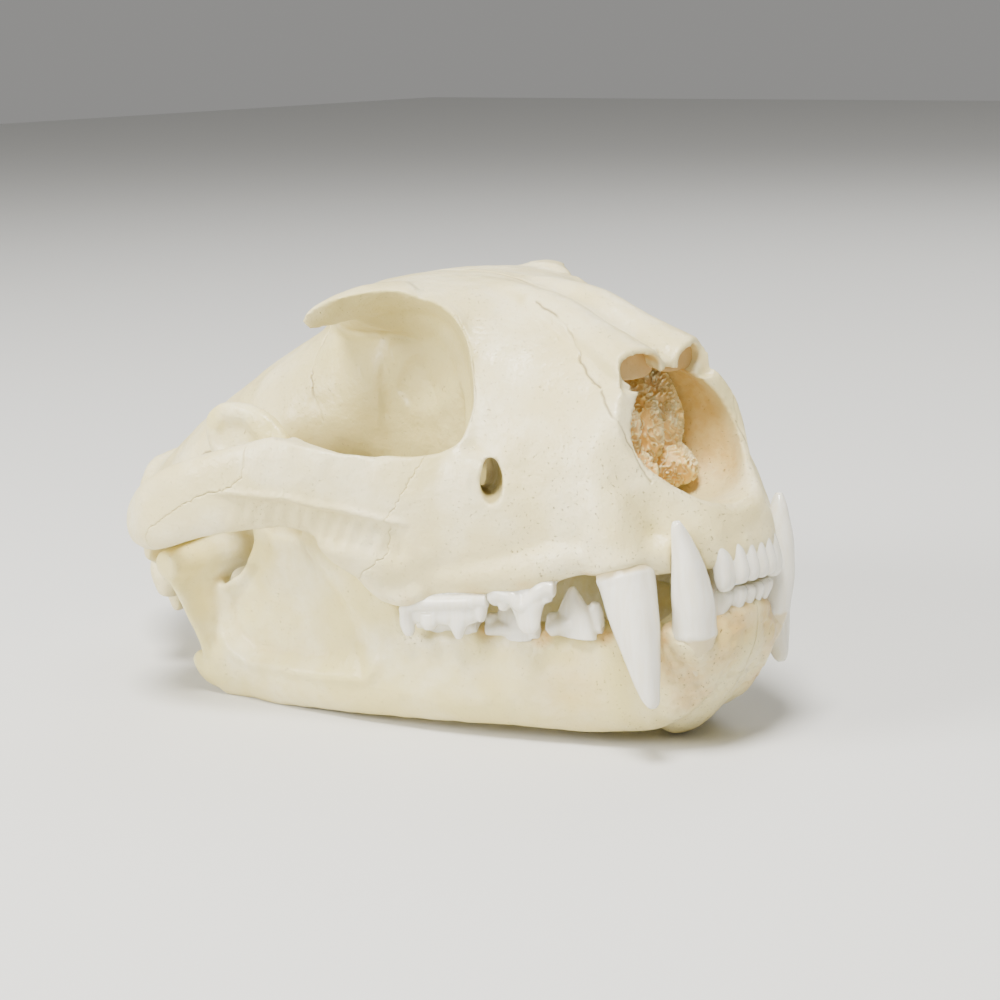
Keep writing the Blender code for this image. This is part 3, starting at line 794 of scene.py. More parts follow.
@dataclass(frozen=True)
class Bone(Finish):
    """Degreased and bleached bone: chalky cream with painted shade in its creases and hollows, fat stains and fine
    pores darkened with painted shade.

    Patterns are sized in millimetres. The pores of real bone are about 0.2 mm wide, too fine to
    show in the render, so they are drawn three times as wide.
    """

    pale: str = "efe5ba"
    cream: str = "e3d59c"
    # Painted shade in creases and on the orbit's and temple's walls, and the jaw body's yellower tone.
    shade_and_tone: str = "cfc07c"
    stain: str = "c99b4a"
    # Tan of the nose's lining, painted on more strongly deeper inside as painted shade.
    inner: str = "dcc27e"
    # Dark of the sutures, and painted shade in the pores and canals.
    dark_seam_and_shade: str = "5e4a2a"
    clouds: float = 16.0
    flecks: float = 2.2
    blotches: float = 3.5
    pores: float = 0.6
    porous_patches: float = 9.0
    dents: float = 5.0
    grit: float = 1.1

    def made(self) -> bpy.types.Material:
        """Makes the material.

        Returns:
            The material.
        """
        s = Shader(self.name)
        layer = {name: s.add("Attribute", {"attribute_name": name}, "Fac") for name in LAYERS}
        clouds = s.patches(self.clouds, 0.35, 0.65, detail=2)
        flecks = s.patches(self.flecks, 0.35, 0.7, detail=4)
        blotches = s.patches(self.blotches, 0.3, 0.65, 0.55)
        porous = s.patches(self.porous_patches, 0.5, 0.68, detail=2)
        porous = s.add("Math", PLUS, in0=s.add("Math", TIMES, in0=porous, in1=0.5), in1=layer["pores"])
        pores = s.add("Math", TIMES, in0=s.patches(self.pores, 0.32, 0.24, detail=1), in1=porous)
        lining = s.add(
            "Mix", MIXED, 2, in0=s.add("Math", TIMES, in0=flecks, in1=0.4),
            in6=colour(self.inner), in7=colour(self.stain),
        )
        base = colour(self.pale)
        for share, tone in (
            (clouds, colour(self.cream)),
            (s.add("Math", TIMES, in0=flecks, in1=0.35), colour(self.cream)),
            # Painted shade in the creases and on the orbit's and temple's walls, and the jaw body's yellower tone.
            (layer["shade_and_tone"], colour(self.shade_and_tone)),
            # The nose's tan lining, painted more strongly deeper inside as painted shade.
            (layer["inner"], lining),
            (s.add("Math", TIMES, in0=layer["stain"], in1=blotches), colour(self.stain)),
            # The pores are painted dark: painted shade in their tiny holes.
            (s.add("Math", TIMES, in0=pores, in1=0.4), colour(self.dark_seam_and_shade)),
            # The dark sutures, and painted shade in the canals.
            (layer["seam"], colour(self.dark_seam_and_shade)),
        ):
            base = s.add("Mix", MIXED, 2, in0=share, in6=base, in7=tone)
        rough = s.add("MapRange", SMOOTHED, in0=flecks, in3=self.roughness - 0.06, in4=self.roughness + 0.08)
        holes = s.add("Math", TIMES, in0=pores, in1=-1.0)
        relief = s.add("Bump", Height=s.grain(self.dents, 4), Distance=0.6 * MM, Strength=0.8)
        relief = s.add("Bump", Height=s.grain(self.grit, 4), Distance=0.16 * MM, Strength=0.8, Normal=relief)
        relief = s.add("Bump", Height=holes, Distance=0.35 * MM, Strength=1.0, Normal=relief)
        return s.surface(
            Base_Color=base,
            Roughness=rough,
            Subsurface_Weight=0.08,
            Subsurface_Radius=(1.0, 0.7, 0.4),
            Subsurface_Scale=1.0 * MM,
            Specular_IOR_Level=0.5,
            Normal=relief,
        )


@dataclass(frozen=True)
class Enamel(Finish):
    """Tooth enamel: glossy and faintly clear, creamier at the gum, with fine lengthwise lines.

    The lines of real enamel are about 0.1 mm wide, too fine to show, so they are drawn coarser.
    """

    white: str = "f0ede0"
    ivory: str = "e2d9ba"
    root: str = "d8c387"
    lines: float = 1.1

    def made(self) -> bpy.types.Material:
        """Makes the material.

        Returns:
            The material.
        """
        s = Shader(self.name)
        lines = s.patches(self.lines, 0.35, 0.7, stretch=(1, 1, 9))
        share = s.add("Math", TIMES, in0=lines, in1=0.35)
        base = s.add("Mix", MIXED, 2, in0=share, in6=colour(self.white), in7=colour(self.ivory))
        root = s.add("Attribute", {"attribute_name": "root"}, "Fac")
        return s.surface(
            Base_Color=s.add("Mix", MIXED, 2, in0=root, in6=base, in7=colour(self.root)),
            Roughness=self.roughness,
            Subsurface_Weight=0.2,
            Subsurface_Radius=(1.0, 0.8, 0.6),
            Subsurface_Scale=1.2 * MM,
            Coat_Weight=0.25,
            Coat_Roughness=0.12,
            Normal=s.add("Bump", Height=lines, Distance=0.02 * MM, Strength=0.3),
        )


@dataclass(frozen=True)
class SpongyBone(Finish):
    """Thin scrolled bone in the nose: painted amber in its folds, as painted shade and glow, and pale straw on its
    edges, painted lighter as painted light.
    """

    # Painted light: the edges and their straw are painted lighter than the bone.
    edge: str = "fff2bc"
    straw: str = "f6d678"
    # Painted shade and glow in the folds.
    fold: str = "e0a236"
    clouds: float = 4.0
    grit: float = 0.7

    def made(self) -> bpy.types.Material:
        """Makes the material.

        Returns:
            The material.
        """
        s = Shader(self.name)
        clouds = s.add("Math", TIMES, in0=s.patches(self.clouds, 0.35, 0.65, detail=2), in1=0.6)
        edge = s.add("Mix", MIXED, 2, in0=clouds, in6=colour(self.edge), in7=colour(self.straw))
        # The folds take the amber: painted shade and glow.
        shade_and_tone = s.add("Attribute", {"attribute_name": "shade_and_tone"}, "Fac")
        return s.surface(
            Base_Color=s.add("Mix", MIXED, 2, in0=shade_and_tone, in6=edge, in7=colour(self.fold)),
            Roughness=self.roughness,
            Subsurface_Weight=0.25,
            Subsurface_Radius=(1.0, 0.9, 0.5),
            Subsurface_Scale=0.8 * MM,
            Normal=s.add("Bump", Height=s.grain(self.grit), Distance=0.12 * MM, Strength=0.8),
        )


@dataclass(frozen=True)
class Paper(Finish):
    """The matt pale sheet that the skull stands on."""

    tone: str = "d9d9d6"
    fibres: float = 1.5

    def made(self) -> bpy.types.Material:
        """Makes the material.

        Returns:
            The material.
        """
        s = Shader(self.name)
        relief = s.add("Bump", Height=s.grain(self.fibres, 2), Distance=0.05 * MM, Strength=0.3)
        return s.surface(Base_Color=colour(self.tone), Roughness=self.roughness, Normal=relief)


# Bleached and dried: chalky, with only a soft sheen.
SKULL_BONE = Bone("bleached_skull_bone", 0.38)
# The same bone with more fat left in it: a yellower cream, with rust-coloured stains at the chin.
JAW_BONE = Bone("bleached_jaw_bone", 0.38, pale="f1e8bb", cream="e6d893", shade_and_tone="cdb974", stain="cf9c45")
# Smooth and hard: the only glossy surface on the skull, which sets the teeth off from the bone.
TOOTH = Enamel("tooth_enamel", 0.22)
# Paper-thin and full of holes: light passes through it, and its folds are painted amber as painted glow and shade,
# its edges pale as painted light.
SPONGY = SpongyBone("spongy_nose_bone", 0.6)
# Matt and tan, darker than the bleached bone: painted shade for the scroll inside the nose, which makes the nose look
# deep.
SHADED_NOSE_BONE = Bone("shaded_inner_nose_bone", 0.55, pale="cdae72", cream="bf9a58", shade_and_tone="a87f42", stain="a87532")
# Uncoated and matt: a quiet ground that shows the skull's soft shadow.
SHEET = Paper("matt_paper", 0.9)


@dataclass(frozen=True)
class Cranium:
    """The upper skull: braincase, brow, face, palate, bullae and the roots of the cheek arches.

    A trunk's row is x, half width, top, bottom, level of the widest point, and how square the
    section is above and below it. A limb's row is x, y, z, half height and half thickness. An
    ellipsoid is its centre, half sizes, pitch and yaw. The cuts say how far the nose's opening
    reaches to each side, and between which levels the nasal bones' ends are trimmed.
    """

    braincase: Rows = (
        (-97.5, 10, 46.5, 38, 42, 2.0, 2.0),
        (-92, 20.5, 50.0, 30, 39, 1.9, 2.0),
        (-85, 26.5, 55.0, 27, 39, 1.85, 2.0),
        (-77, 30.5, 60.8, 26, 41, 1.8, 2.0),
        (-67, 32.4, 67.8, 27, 44, 1.8, 2.1),
        (-55, 32.6, 75.6, 29, 47, 1.8, 2.1),
        (-43, 31, 82.8, 31, 52, 1.85, 2.1),
        (-32, 28.0, 88.4, 34, 58, 1.9, 2.1),
        (-22, 24.3, 93.0, 37, 64, 2.0, 2.1),
        (-12, 21.5, 97.0, 42, 70, 2.0, 2.3),
        (-2, 20, 99.6, 45, 76, 2.2, 2.6),
    )
    orbit_core: Rows = (
        (-12, 18.5, 97.0, 44, 76, 2.4, 3.0),
        (10, 19.0, 101.0, 43, 76, 2.6, 3.2),
        (28, 19.5, 100.5, 40, 74, 2.6, 3.4),
        (48, 20.0, 95.5, 39, 70, 2.4, 3.4),
    )
    face: Rows = (
        (-40, 6, 83.6, 78, 81, 2.0, 2.0),
        (-32, 9, 89.4, 83, 86, 2.0, 2.0),
        (-24, 14, 94.2, 85, 89.6, 2.2, 2.0),
        (-15, 20.5, 98.2, 86, 92.4, 2.3, 2.0),
        (-6, 27.5, 100.9, 87, 94.4, 2.3, 2.0),
        (2, 31.5, 102.2, 88, 95.7, 2.3, 2.0),
        (10, 31, 102.7, 87, 96.5, 2.3, 2.0),
        (18, 29, 102.4, 84, 96, 2.3, 2.0),
        (26, 28.4, 101.2, 74, 91, 2.2, 2.2),
        (34, 29.6, 99.2, 56, 80, 2.05, 2.6),
        (42, 32.4, 97.2, 38, 66, 1.95, 3.0),
        (50, 32.8, 94.2, 38.6, 58, 1.9, 3.2),
        (58, 31, 91.0, 40.4, 54, 2.0, 3.2),
        (66, 28.6, 87.4, 42.4, 52, 2.2, 3.0),
        (72, 26.2, 85.2, 43.6, 51, 2.65, 2.8),
        (77, 20.9, 83.5, 44.0, 50, 2.7, 2.6),
        (81, 17.8, 76.5, 43.6, 50, 2.0, 2.6),
        (85, 15.5, 65.5, 43.0, 50, 2.2, 2.6),
        (89, 13.4, 58.5, 42.4, 48, 2.4, 2.6),
        (92, 10.8, 53.5, 42.0, 46, 2.4, 2.6),
        (93.4, 7.0, 49.5, 42.5, 45, 2.2, 2.2),
    )
    palate: Rows = (
        (18, 13, 45, 34.5, 40, 3, 3),
        (30, 24, 47, 35.0, 41, 3, 3),
        (60, 24, 52, 41.0, 46, 3, 3),
    )
    cheek_arch: Rows = (
        (58, 25.5, 51, 8, 5.0),
        (50, 29.6, 52, 12.0, 5.6),
        (42, 33.2, 53, 14.4, 6.0),
        (34, 37.4, 53.2, 15.2, 5.0),
        (27, 41.8, 51.6, 16.4, 4.4),
        (20, 46.6, 53.4, 14.8, 3.8),
        (13, 51.0, 58.0, 11.6, 3.4),
        (5, 55.6, 59.8, 11.0, 3.1),
        (-4, 60.0, 58.2, 10.0, 3.0),
        (-13, 63.6, 56.2, 9.6, 3.2),
        (-21.5, 65.6, 53.4, 9.2, 3.5),
        (-29, 66.0, 50.4, 8.6, 4.0),
        (-36, 63.4, 47.6, 7.6, 5.0),
        (-42, 57.4, 45.4, 6.2, 6.8),
        (-44, 50, 44.4, 5.6, 8.2),
        (-46, 38, 45.4, 7.0, 9.6),
        (-48, 26, 48, 8.0, 10),
    )
    jugal_process: Rows = ((12, 52.6, 62, 5, 2.6), (7, 52.6, 67, 4.2, 2.2), (3.4, 51.4, 70.6, 2.4, 1.6))
    brow_process: Rows = (
        (12, 22, 97.6, 5.0, 9.0),
        (8, 29, 97.6, 4.8, 7.6),
        (4.2, 35, 96.6, 4.2, 6.0),
        (0.6, 40, 94.2, 3.6, 4.8),
        (-1.2, 42.2, 92.2, 2.9, 3.4),
        (-2.4, 43.6, 91.2, 2.2, 2.6),
    )
    nasal_bone: Rows = (
        (22, 5.4, 97.8, 4.2, 4.6),
        (31.5, 6.2, 97.0, 4.4, 4.8),
        (43.8, 6.8, 94.9, 4.6, 5.0),
        (55.7, 7.6, 90.4, 4.6, 5.8),
        (65.9, 8.5, 86.3, 4.8, 7.0),
        (72.5, 8.8, 83.6, 4.8, 7.3),
        (78, 8.8, 81.2, 4.8, 7.3),
    )
    nasal_vault: Rows = (
        (55, 6.4, 88.4, 2.2, 2.6),
        (60, 7.4, 87.3, 3.2, 4.2),
        (66, 8.3, 85.8, 3.6, 5.1),
        (72.5, 8.7, 83.6, 3.6, 5.5),
        (84, 8.8, 79.0, 3.6, 5.5),
    )
    cheek_root: Rows = (
        (12.6, 48.6, 49.5, 4.0, 2.6),
        (17.4, 46.2, 42.5, 4.2, 2.8),
        (21.2, 43.8, 36.4, 4.2, 2.7),
        (24.8, 42.0, 33.8, 3.6, 2.5),
        (31.5, 39.2, 36.6, 3.4, 3.0),
    )
    orbit_rim: Rows = (
        (20, 24.5, 97.2, 3.0, 3.0),
        (28.6, 24.0, 92.4, 3.2, 3.0),
        (33.4, 25.4, 84.5, 3.4, 3.2),
        (36.2, 28.0, 76.5, 3.6, 3.6),
        (36.6, 32.4, 69.5, 4.0, 4.0),
        (31.6, 38.0, 63.5, 4.0, 4.2),
    )
    tooth_row: Rows = (
        (22.8, 39.2, 37.6, 4.2, 3.0),
        (30, 37.8, 38.6, 4.8, 4.0),
        (42, 34.4, 40.2, 5.0, 4.4),
        (54, 30.4, 42.0, 5.2, 4.4),
        (63, 26.4, 45.2, 4.6, 4.8),
        (70, 22.6, 46.8, 5.2, 5.6),
        (78, 18.6, 46.6, 4.8, 4.6),
        (85, 12.4, 46.8, 4.4, 3.6),
        (90.4, 7.0, 46.8, 4.0, 3.2),
        (91.6, 0.0, 46.8, 4.0, 3.2),
    )
    canine_bulge: Rows = (
        (60, 17.6, 76, 4.6, 5.5),
        (66, 20.0, 64, 6.4, 6.6),
        (70.8, 21.2, 54, 7.8, 7.3),
        (74.6, 21.8, 43.2, 8.0, 7.0),
    )
    postglenoid: Rows = ((-46, 29, 38, 7, 3.0), (-47, 44, 36.5, 8, 2.6), (-45.6, 57, 40, 5, 2.4))
    nuchal_crest: Rows = (
        (-66, 34.5, 28, 3.6, 2.6),
        (-75, 32.4, 34, 3.6, 2.2),
        (-85, 26.6, 41.4, 3.4, 2.0),
        (-93, 15.6, 45.6, 3.2, 2.0),
        (-96.4, 0, 47.0, 3.4, 2.2),
    )
    sagittal_crest: Rows = (
        (-98, 0, 46.4, 3.4, 1.8),
        (-88, 0, 52.6, 3.2, 1.6),
        (-74, 0, 62.4, 2.8, 1.5),
        (-60, 0, 71.8, 2.4, 1.6),
        (-46, 0, 80.0, 2.0, 2.0),
    )
    mastoid: Rows = ((-62, 31, 33, 8, 8), (-64, 36.5, 25, 6, 5.5), (-63.5, 38.4, 18.6, 2.4, 2.4))
    paroccipital: Rows = ((-73, 27, 32, 6, 6), (-70.5, 30.5, 21, 4, 3.6), (-68, 31.6, 12.6, 1.6, 1.6))
    pterygoid: Rows = (
        (24, 12, 41, 6, 1.7),
        (6, 11, 41, 7, 1.5),
        (-10, 10.6, 38.6, 6.5, 1.4),
        (-18, 11, 33.6, 2.2, 1.2),
    )
    bulla: Ellipsoid = ((-59, 20.5, 27.5), (17, 10.5, 10.0), -11, 12)
    condyle_behind: Ellipsoid = ((-81, 11.6, 28.5), (8.5, 6.4, 9.5), 20, -24)

    orbit_edge: Rows = (
        (5.5, 35, 97.0),
        (16, 27.5, 99.6),
        (26.4, 25.6, 97.8),
        (32.4, 25.6, 91.7),
        (36.4, 27.6, 84.4),
        (39.2, 30.4, 76.4),
        (39.4, 34.4, 70.4),
        (34.0, 39, 66.8),
        (27.3, 44, 66.4),
        (18.7, 49, 66.8),
        (9, 52, 68.4),
        (-8, 52, 72),
        (-12, 46, 84),
    )
    orbit_apex: Row = (2, 20, 71)
    orbit_depths: Rows = ((-1.1, 1.75), (0.0, 1.0), (0.3, 0.93), (0.55, 0.76), (0.78, 0.5), (0.95, 0.2))
    cheek_canal: Rows = (
        (54, 41.5, 61.6, 5.0, 2.7),
        (45.5, 31.8, 61.8, 4.8, 2.6),
        (37, 25.4, 62.4, 4.4, 2.5),
        (30, 22, 64, 3.6, 2.4),
    )
    nose_shade_and_tone: Rows = (
        (44, 6, 80, 64, 72, 2, 2),
        (54, 12.0, 84.6, 58.0, 71, 2.2, 2.2),
        (62, 14.8, 85.6, 54.4, 71, 2.3, 2.4),
        (68, 17.0, 84.6, 53.2, 69, 2.1, 2.4),
        (74, 18.0, 82.6, 53.6, 68, 2.0, 2.4),
        (79, 16.0, 81.0, 54.6, 68, 2.1, 2.4),
        (84, 13.6, 80.0, 56.0, 67, 2.4, 2.4),
        (100, 13.0, 80.0, 56.8, 67, 2.4, 2.4),
    )
    nose_opening: Rows = (
        (120, 54.6), (91.6, 54.6), (86.6, 58.2), (82.0, 61.2), (78.6, 64.6), (75.8, 68.6), (74.0, 72.6), (72.6, 77),
        (71.2, 80.4), (70.8, 83.0), (120, 83.0),
    )
    nasal_ends: Rows = (
        (70.2, 0), (71.0, 3), (71.0, 6), (70.2, 9), (69.0, 12), (68.4, 14), (69.2, 15.4), (71.0, 16.4),
        (73.0, 19), (75.5, 24), (78, 32), (130, 32), (130, 0),
    )
    spinal_opening: Rows = ((-108, 0, 35, 8.0, 9.0), (-84, 0, 33.5, 8.0, 9.0), (-64, 0, 32, 7.0, 8.0))
    ear_canal: Rows = ((-57, 44, 29.5, 3.6, 4.4), (-57, 27, 30.5, 3.4, 4.0))
    jaw_socket: Rows = ((-38.5, 22, 34.6, 6.2, 6.2), (-38.5, 42, 35, 6.6, 6.6), (-38.5, 64, 34.6, 6.2, 6.2))
    palate_vault: Ellipsoid = ((56, 0, 36.5), (36, 16.5, 7.5), -11, 0)
    nose_cut: float = 60
    nasal_cut: tuple[float, float] = (80.4, 130)
    hollow_blend: float = 0.9

    def lumps(self) -> list[Lump]:
        """What the skull is joined from.

        Returns:
            The forms, on both sides.
        """
        sides = [
            limb(self.cheek_arch, power=2.4),
            limb(self.jugal_process),
            limb(self.brow_process),
            limb(self.nasal_bone),
            limb(self.cheek_root, along=(1, 0, 0)),
            limb(self.orbit_rim, along=(1, 0, 0)),
            limb(self.tooth_row),
            limb(self.canine_bulge, along=(1, 0, 0)),
            limb(self.postglenoid),
            limb(self.nuchal_crest),
            limb(self.mastoid, along=(1, 0, 0)),
            limb(self.paroccipital, along=(1, 0, 0)),
            limb(self.pterygoid),
            ball(*self.bulla),
            ball(*self.condyle_behind),
        ]
        middle = [trunk(rows) for rows in (self.braincase, self.orbit_core, self.face, self.palate)]
        return middle + [limb(self.sagittal_crest)] + both(sides)

    def orbit(self) -> Lump:
        """The eye's socket: its edge, drawn in to a point at the back and widened outside.

        Returns:
            The form, on the left.
        """
        edge = filled_in(self.orbit_edge + self.orbit_edge[:1], 3, 3.0)[:-1]
        middle = edge.mean(axis=0)
        way = np.asarray(self.orbit_apex) - middle
        return lofted([middle + share * way + size * (edge - middle) for share, size in self.orbit_depths])

    def hollows(self) -> list[Lump]:
        """What is cut from it.

        Returns:
            The forms, on both sides.
        """
        sides = [
            self.orbit(),
            limb(self.nasal_vault),
            limb(self.cheek_canal),
            limb(self.ear_canal),
        ]
        mirror = tuple((x, -y) for x, y in reversed(self.nasal_ends[1:-1]))
        middle = [
            trunk(self.nose_shade_and_tone),
            prism(self.nose_opening, -self.nose_cut, self.nose_cut, 1),
            prism(self.nasal_ends + mirror, *self.nasal_cut, 2),
            limb(self.spinal_opening),
            ball(*self.palate_vault),
        ]
        return middle + both(sides)

    def build(self, voxel: float, room: list[Lump]) -> Skin:
        """Makes the bone.

        Args:
            voxel: Size of its faces, in millimetres.
            room: What the lower jaw's teeth need clear.

        Returns:
            The skull, still with its cheek bones.
        """
        skin = Skin("skull_bone", self.lumps())
        skin.melt(voxel, BLEND)
        skin.combine(self.hollows() + both([limb(self.jaw_socket, along=(1, 0, 0))]) + room, "DIFFERENCE")
        skin.melt(voxel, self.hollow_blend)
        skin.keep_largest()
        return skin


@dataclass(frozen=True)
class Sutures:
    """The lines where the skull's bones meet, on the left side."""

    frontal_maxilla: Rows = ((31.2, 25, 97.8), (35.3, 28, 90.0), (36.9, 29, 83.6), (38.7, 30, 79.4), (39.6, 31.5, 73))
    nasal_maxilla: Rows = (
        (41, 11.6, 98.6), (47.4, 12, 95.6), (51.9, 12.4, 92.6), (56, 14, 88.4), (60, 16, 85.0), (66, 18, 82.0),
    )
    premaxilla_maxilla: Rows = ((66, 18, 82), (70.4, 20, 77), (76.5, 18.6, 68.1), (80, 18, 62))
    nasal_middle: Rows = ((36, 0, 98.6), (52, 0, 94.4), (69.4, 0, 88.6))
    frontal_middle: Rows = ((36, 0, 98.6), (10, 0, 102.7), (-26, 0, 93))
    coronal: Rows = ((-22, 0, 94), (-26, 12, 89), (-24, 22, 78), (-18, 23, 66))
    squamosal: Rows = ((-20, 26, 52), (-36, 33, 62), (-56, 35, 58), (-70, 34, 44))
    zigzag: float = 0.5
    zigzag_length: float = 1.6

    def lines(self) -> list[Rows]:
        """Every line with its zigzags.

        Returns:
            The lines, on the left.
        """
        rows = (
            self.frontal_maxilla,
            self.nasal_maxilla,
            self.premaxilla_maxilla,
            self.nasal_middle,
            self.frontal_middle,
            self.coronal,
            self.squamosal,
        )
        return [wandering(line, self.zigzag, self.zigzag_length, seed) for seed, line in enumerate(rows)]


@dataclass(frozen=True)
class CheekBone:
    """The jugal, which carries the front half of the cheek arch."""

    outline: Rows = (
        (38, 76), (33.5, 66), (30.9, 59.4), (27.4, 52.5), (26.2, 45), (19, 38), (10, 26), (-31, 26),
        (-30, 45), (-24.5, 49.5), (-18, 53.5), (-12, 56.5), (-5, 59), (-2.5, 62), (-2.4, 66), (-3, 78),
    )
    inner: float = 37.5
    outer: float = 90.0
    joint: float = 0.14
    zigzag: float = 0.3
    zigzag_length: float = 1.3
    zigzag_seed: int = 11

    def part_from(self, skull: Skin, side: Side) -> Skin:
        """Cuts the bone out of the skull along its sutures.

        Args:
            skull: The skull, which loses the bone.
            side: Which side's bone.

        Returns:
            The cheek bone.
        """
        closed = self.outline + self.outline[:1]
        line = wandering(closed, self.zigzag, self.zigzag_length, self.zigzag_seed)[:-1]
        keep = prism(line, self.inner, self.outer, 1).on(side)
        take = prism(grown(line, self.joint), self.inner - self.joint, self.outer, 1).on(side)
        bone = Skin.copy_of(skull, f"cheek_bone_{side.word}")
        bone.combine([keep], "INTERSECT")
        skull.combine([take], "DIFFERENCE")
        bone.keep_largest()
        return bone


@dataclass(frozen=True)
class LowerJaw:
    """One half of the lower jaw. A body row is x, y, lower border, upper border, half thickness.

    A plate row is its level, front x, back x, y at the back and half thickness. The masseter
    and the coronoid are outlines in x and z of what the muscles have hollowed.
    """

    body: Rows = (
        (91.0, 4.2, 25.0, 31.5, 4.8),
        (87, 6.2, 18.0, 30.5, 6.4),
        (80, 9.2, 9.6, 29.6, 6.8),
        (72, 12.0, 4.0, 29.4, 6.8),
        (64, 16.0, 3.0, 28.8, 6.6),
        (52, 21.8, 2.8, 27.6, 6.2),
        (38, 27.6, 2.6, 26.6, 6.0),
        (22, 32.8, 2.2, 26.0, 5.8),
        (6, 36.8, 1.2, 24.6, 5.4),
        (-12, 39.8, 0.0, 21, 4.9),
        (-28, 41.6, -0.7, 17, 4.4),
        (-37, 43.2, -0.9, 13, 3.8),
    )
    angle: Rows = (
        (-33, 43, 6.0, 5.6, 3.4),
        (-39, 43.8, 5.4, 4.2, 3.2),
        (-43.4, 44, 6.6, 3.0, 2.6),
        (-45.8, 44, 8.4, 2.2, 2.0),
    )
    plate: Rows = (
        (5, 8, -40, 43.4, 3.4),
        (13, 18, -39.8, 43.6, 3.8),
        (21, 22.0, -38.0, 43.6, 4.0),
        (27, 22.0, -35.5, 43.8, 3.8),
        (31, 20.0, -28.5, 43.8, 3.6),
        (35, 17.0, -25, 43.8, 3.5),
        (41, 12.0, -22.6, 43.6, 3.2),
        (48, 4.4, -24.4, 43.8, 2.9),
        (56, -3.6, -30.6, 44.2, 2.8),
        (63, -9, -36, 44.4, 2.8),
        (68, -12.5, -36.5, 44.4, 2.6),
        (71.5, -17, -33.5, 44.4, 2.2),
        (73.2, -21.5, -30, 44.4, 1.5),
    )
    toe_in: float = 0.13
    plate_power: float = 2.6
    plate_sides: int = 56
    symphysis: Rows = (
        (60, 5, 18, 6.5, 12, 2, 2),
        (66, 8, 24, 3.0, 13, 2, 2),
        (72, 10.6, 29, 0.4, 15, 2.2, 2.0),
        (78, 12.4, 31.6, 2.8, 19, 2.4, 1.9),
        (84, 12.4, 33.8, 9.2, 24, 2.6, 1.8),
        (88, 11.2, 35.0, 14.0, 26, 2.6, 1.8),
        (91.4, 9.4, 35.4, 19.4, 28, 2.6, 1.8),
        (93.8, 6.6, 35.4, 24.6, 30, 2.6, 1.8),
        (94.8, 4.0, 34.6, 28.0, 31, 2.2, 2.0),
    )
    canine_socket: Rows = (
        (74, 9.6, 13, 5, 5),
        (81.2, 10.6, 20.5, 6.2, 5.8),
        (85.4, 11.9, 27.0, 6.8, 6.3),
        (85.8, 12.6, 30.4, 6.4, 6.0),
    )
    neck: Rows = (
        (-39.0, 44.2, 9, 2.6, 2.6),
        (-38.2, 45.6, 16, 2.2, 4.4),
        (-37.8, 47.0, 24, 2.4, 7.4),
        (-38.2, 47.4, 32, 3.4, 10.6),
    )
    condyle: Rows = ((-38.5, 25.5, 35.2, 4.0, 4.2), (-38.5, 42, 34.6, 5.2, 5.2), (-38.5, 58.4, 34.4, 3.8, 4.0))
    masseter: Rows = (
        (12, 11.4), (0, 10.6), (-12, 10.4), (-25, 10.0), (-31, 12.4), (-34.4, 16.5), (-35.6, 22), (-34.6, 27),
        (-30, 30.4), (-25, 36), (-23, 44), (-18, 62), (-4, 44), (8, 34), (14, 26), (17, 18),
    )
    masseter_depth: float = 2.6
    masseter_lip: float = 0.9
    coronoid: Rows = (
        (-24, 48), (-28, 55), (-33, 62), (-33.5, 67), (-29, 71), (-22, 71), (-17, 67), (-10, 57), (-3.4, 48), (2, 42),
        (-18, 40),
    )
    coronoid_depth: float = 1.3
    relief_blend: float = 0.6

    def lumps(self) -> list[Lump]:
        """What the left half is joined from.

        Returns:
            The forms.
        """
        body = tuple((x, y, (low + top) / 2, (top - low) / 2, half) for x, y, low, top, half in self.body)
        plate = []
        for level, front, back, y, half in filled_in(self.plate, 1, 1.5):
            ring = []
            for i in range(self.plate_sides):
                along, across = swung(math.tau * i / self.plate_sides, self.plate_power)
                share = (front - back) / 2 * (1 + along)
                ring.append((back + share, y - self.toe_in * share + half * across, level))
            plate.append(ring)
        return [
            limb(body, power=2.4),
            limb(self.angle),
            lofted(plate),
            limb(self.condyle),
            limb(self.neck, along=(1, 0, 0)),
            trunk(self.symphysis),
            limb(self.canine_socket, along=(1, 0, 0)),
        ]

    def build(self, voxel: float) -> Skin:
        """Makes the left half.

        Args:
            voxel: Size of its faces, in millimetres.

        Returns:
            The bone, cut flat at the joint between the halves and where it rests.
        """
        skin = Skin("jaw_bone_left", self.lumps())
        skin.melt(voxel, BLEND)
        points, normals = skin.points, skin.normals
        depth = inside_depth(points[:, [0, 2]], self.masseter)
        outer = risen(normals[:, 1], 0.0, 0.5) * risen(points[:, 1], 36, 40)
        lip = self.masseter_lip * hump(depth, 1.6) * (1 - risen(points[:, 2], 12, 20))
        slope = 4.5 + 5 * risen(points[:, 0], -6, 10)
        skin.swell(outer * (lip - self.masseter_depth * risen(depth, 0, slope)))
        blade = risen(inside_depth(points[:, [0, 2]], self.coronoid), 0.4, 3.2)
        skin.swell(-self.coronoid_depth * blade * risen(normals[:, 1], 0.2, 0.6))
        skin.melt(voxel, self.relief_blend)
        middle = ((-FAR, -60), (FAR, -60), (FAR, GAP / 2), (-FAR, GAP / 2))
        under = ((-FAR, -80), (FAR, -80), (FAR, 90), (-FAR, 90))
        skin.combine([prism(middle, -40, FAR, 2), prism(under, -60, 0.0, 2)], "DIFFERENCE")
        skin.keep_largest()
        return skin


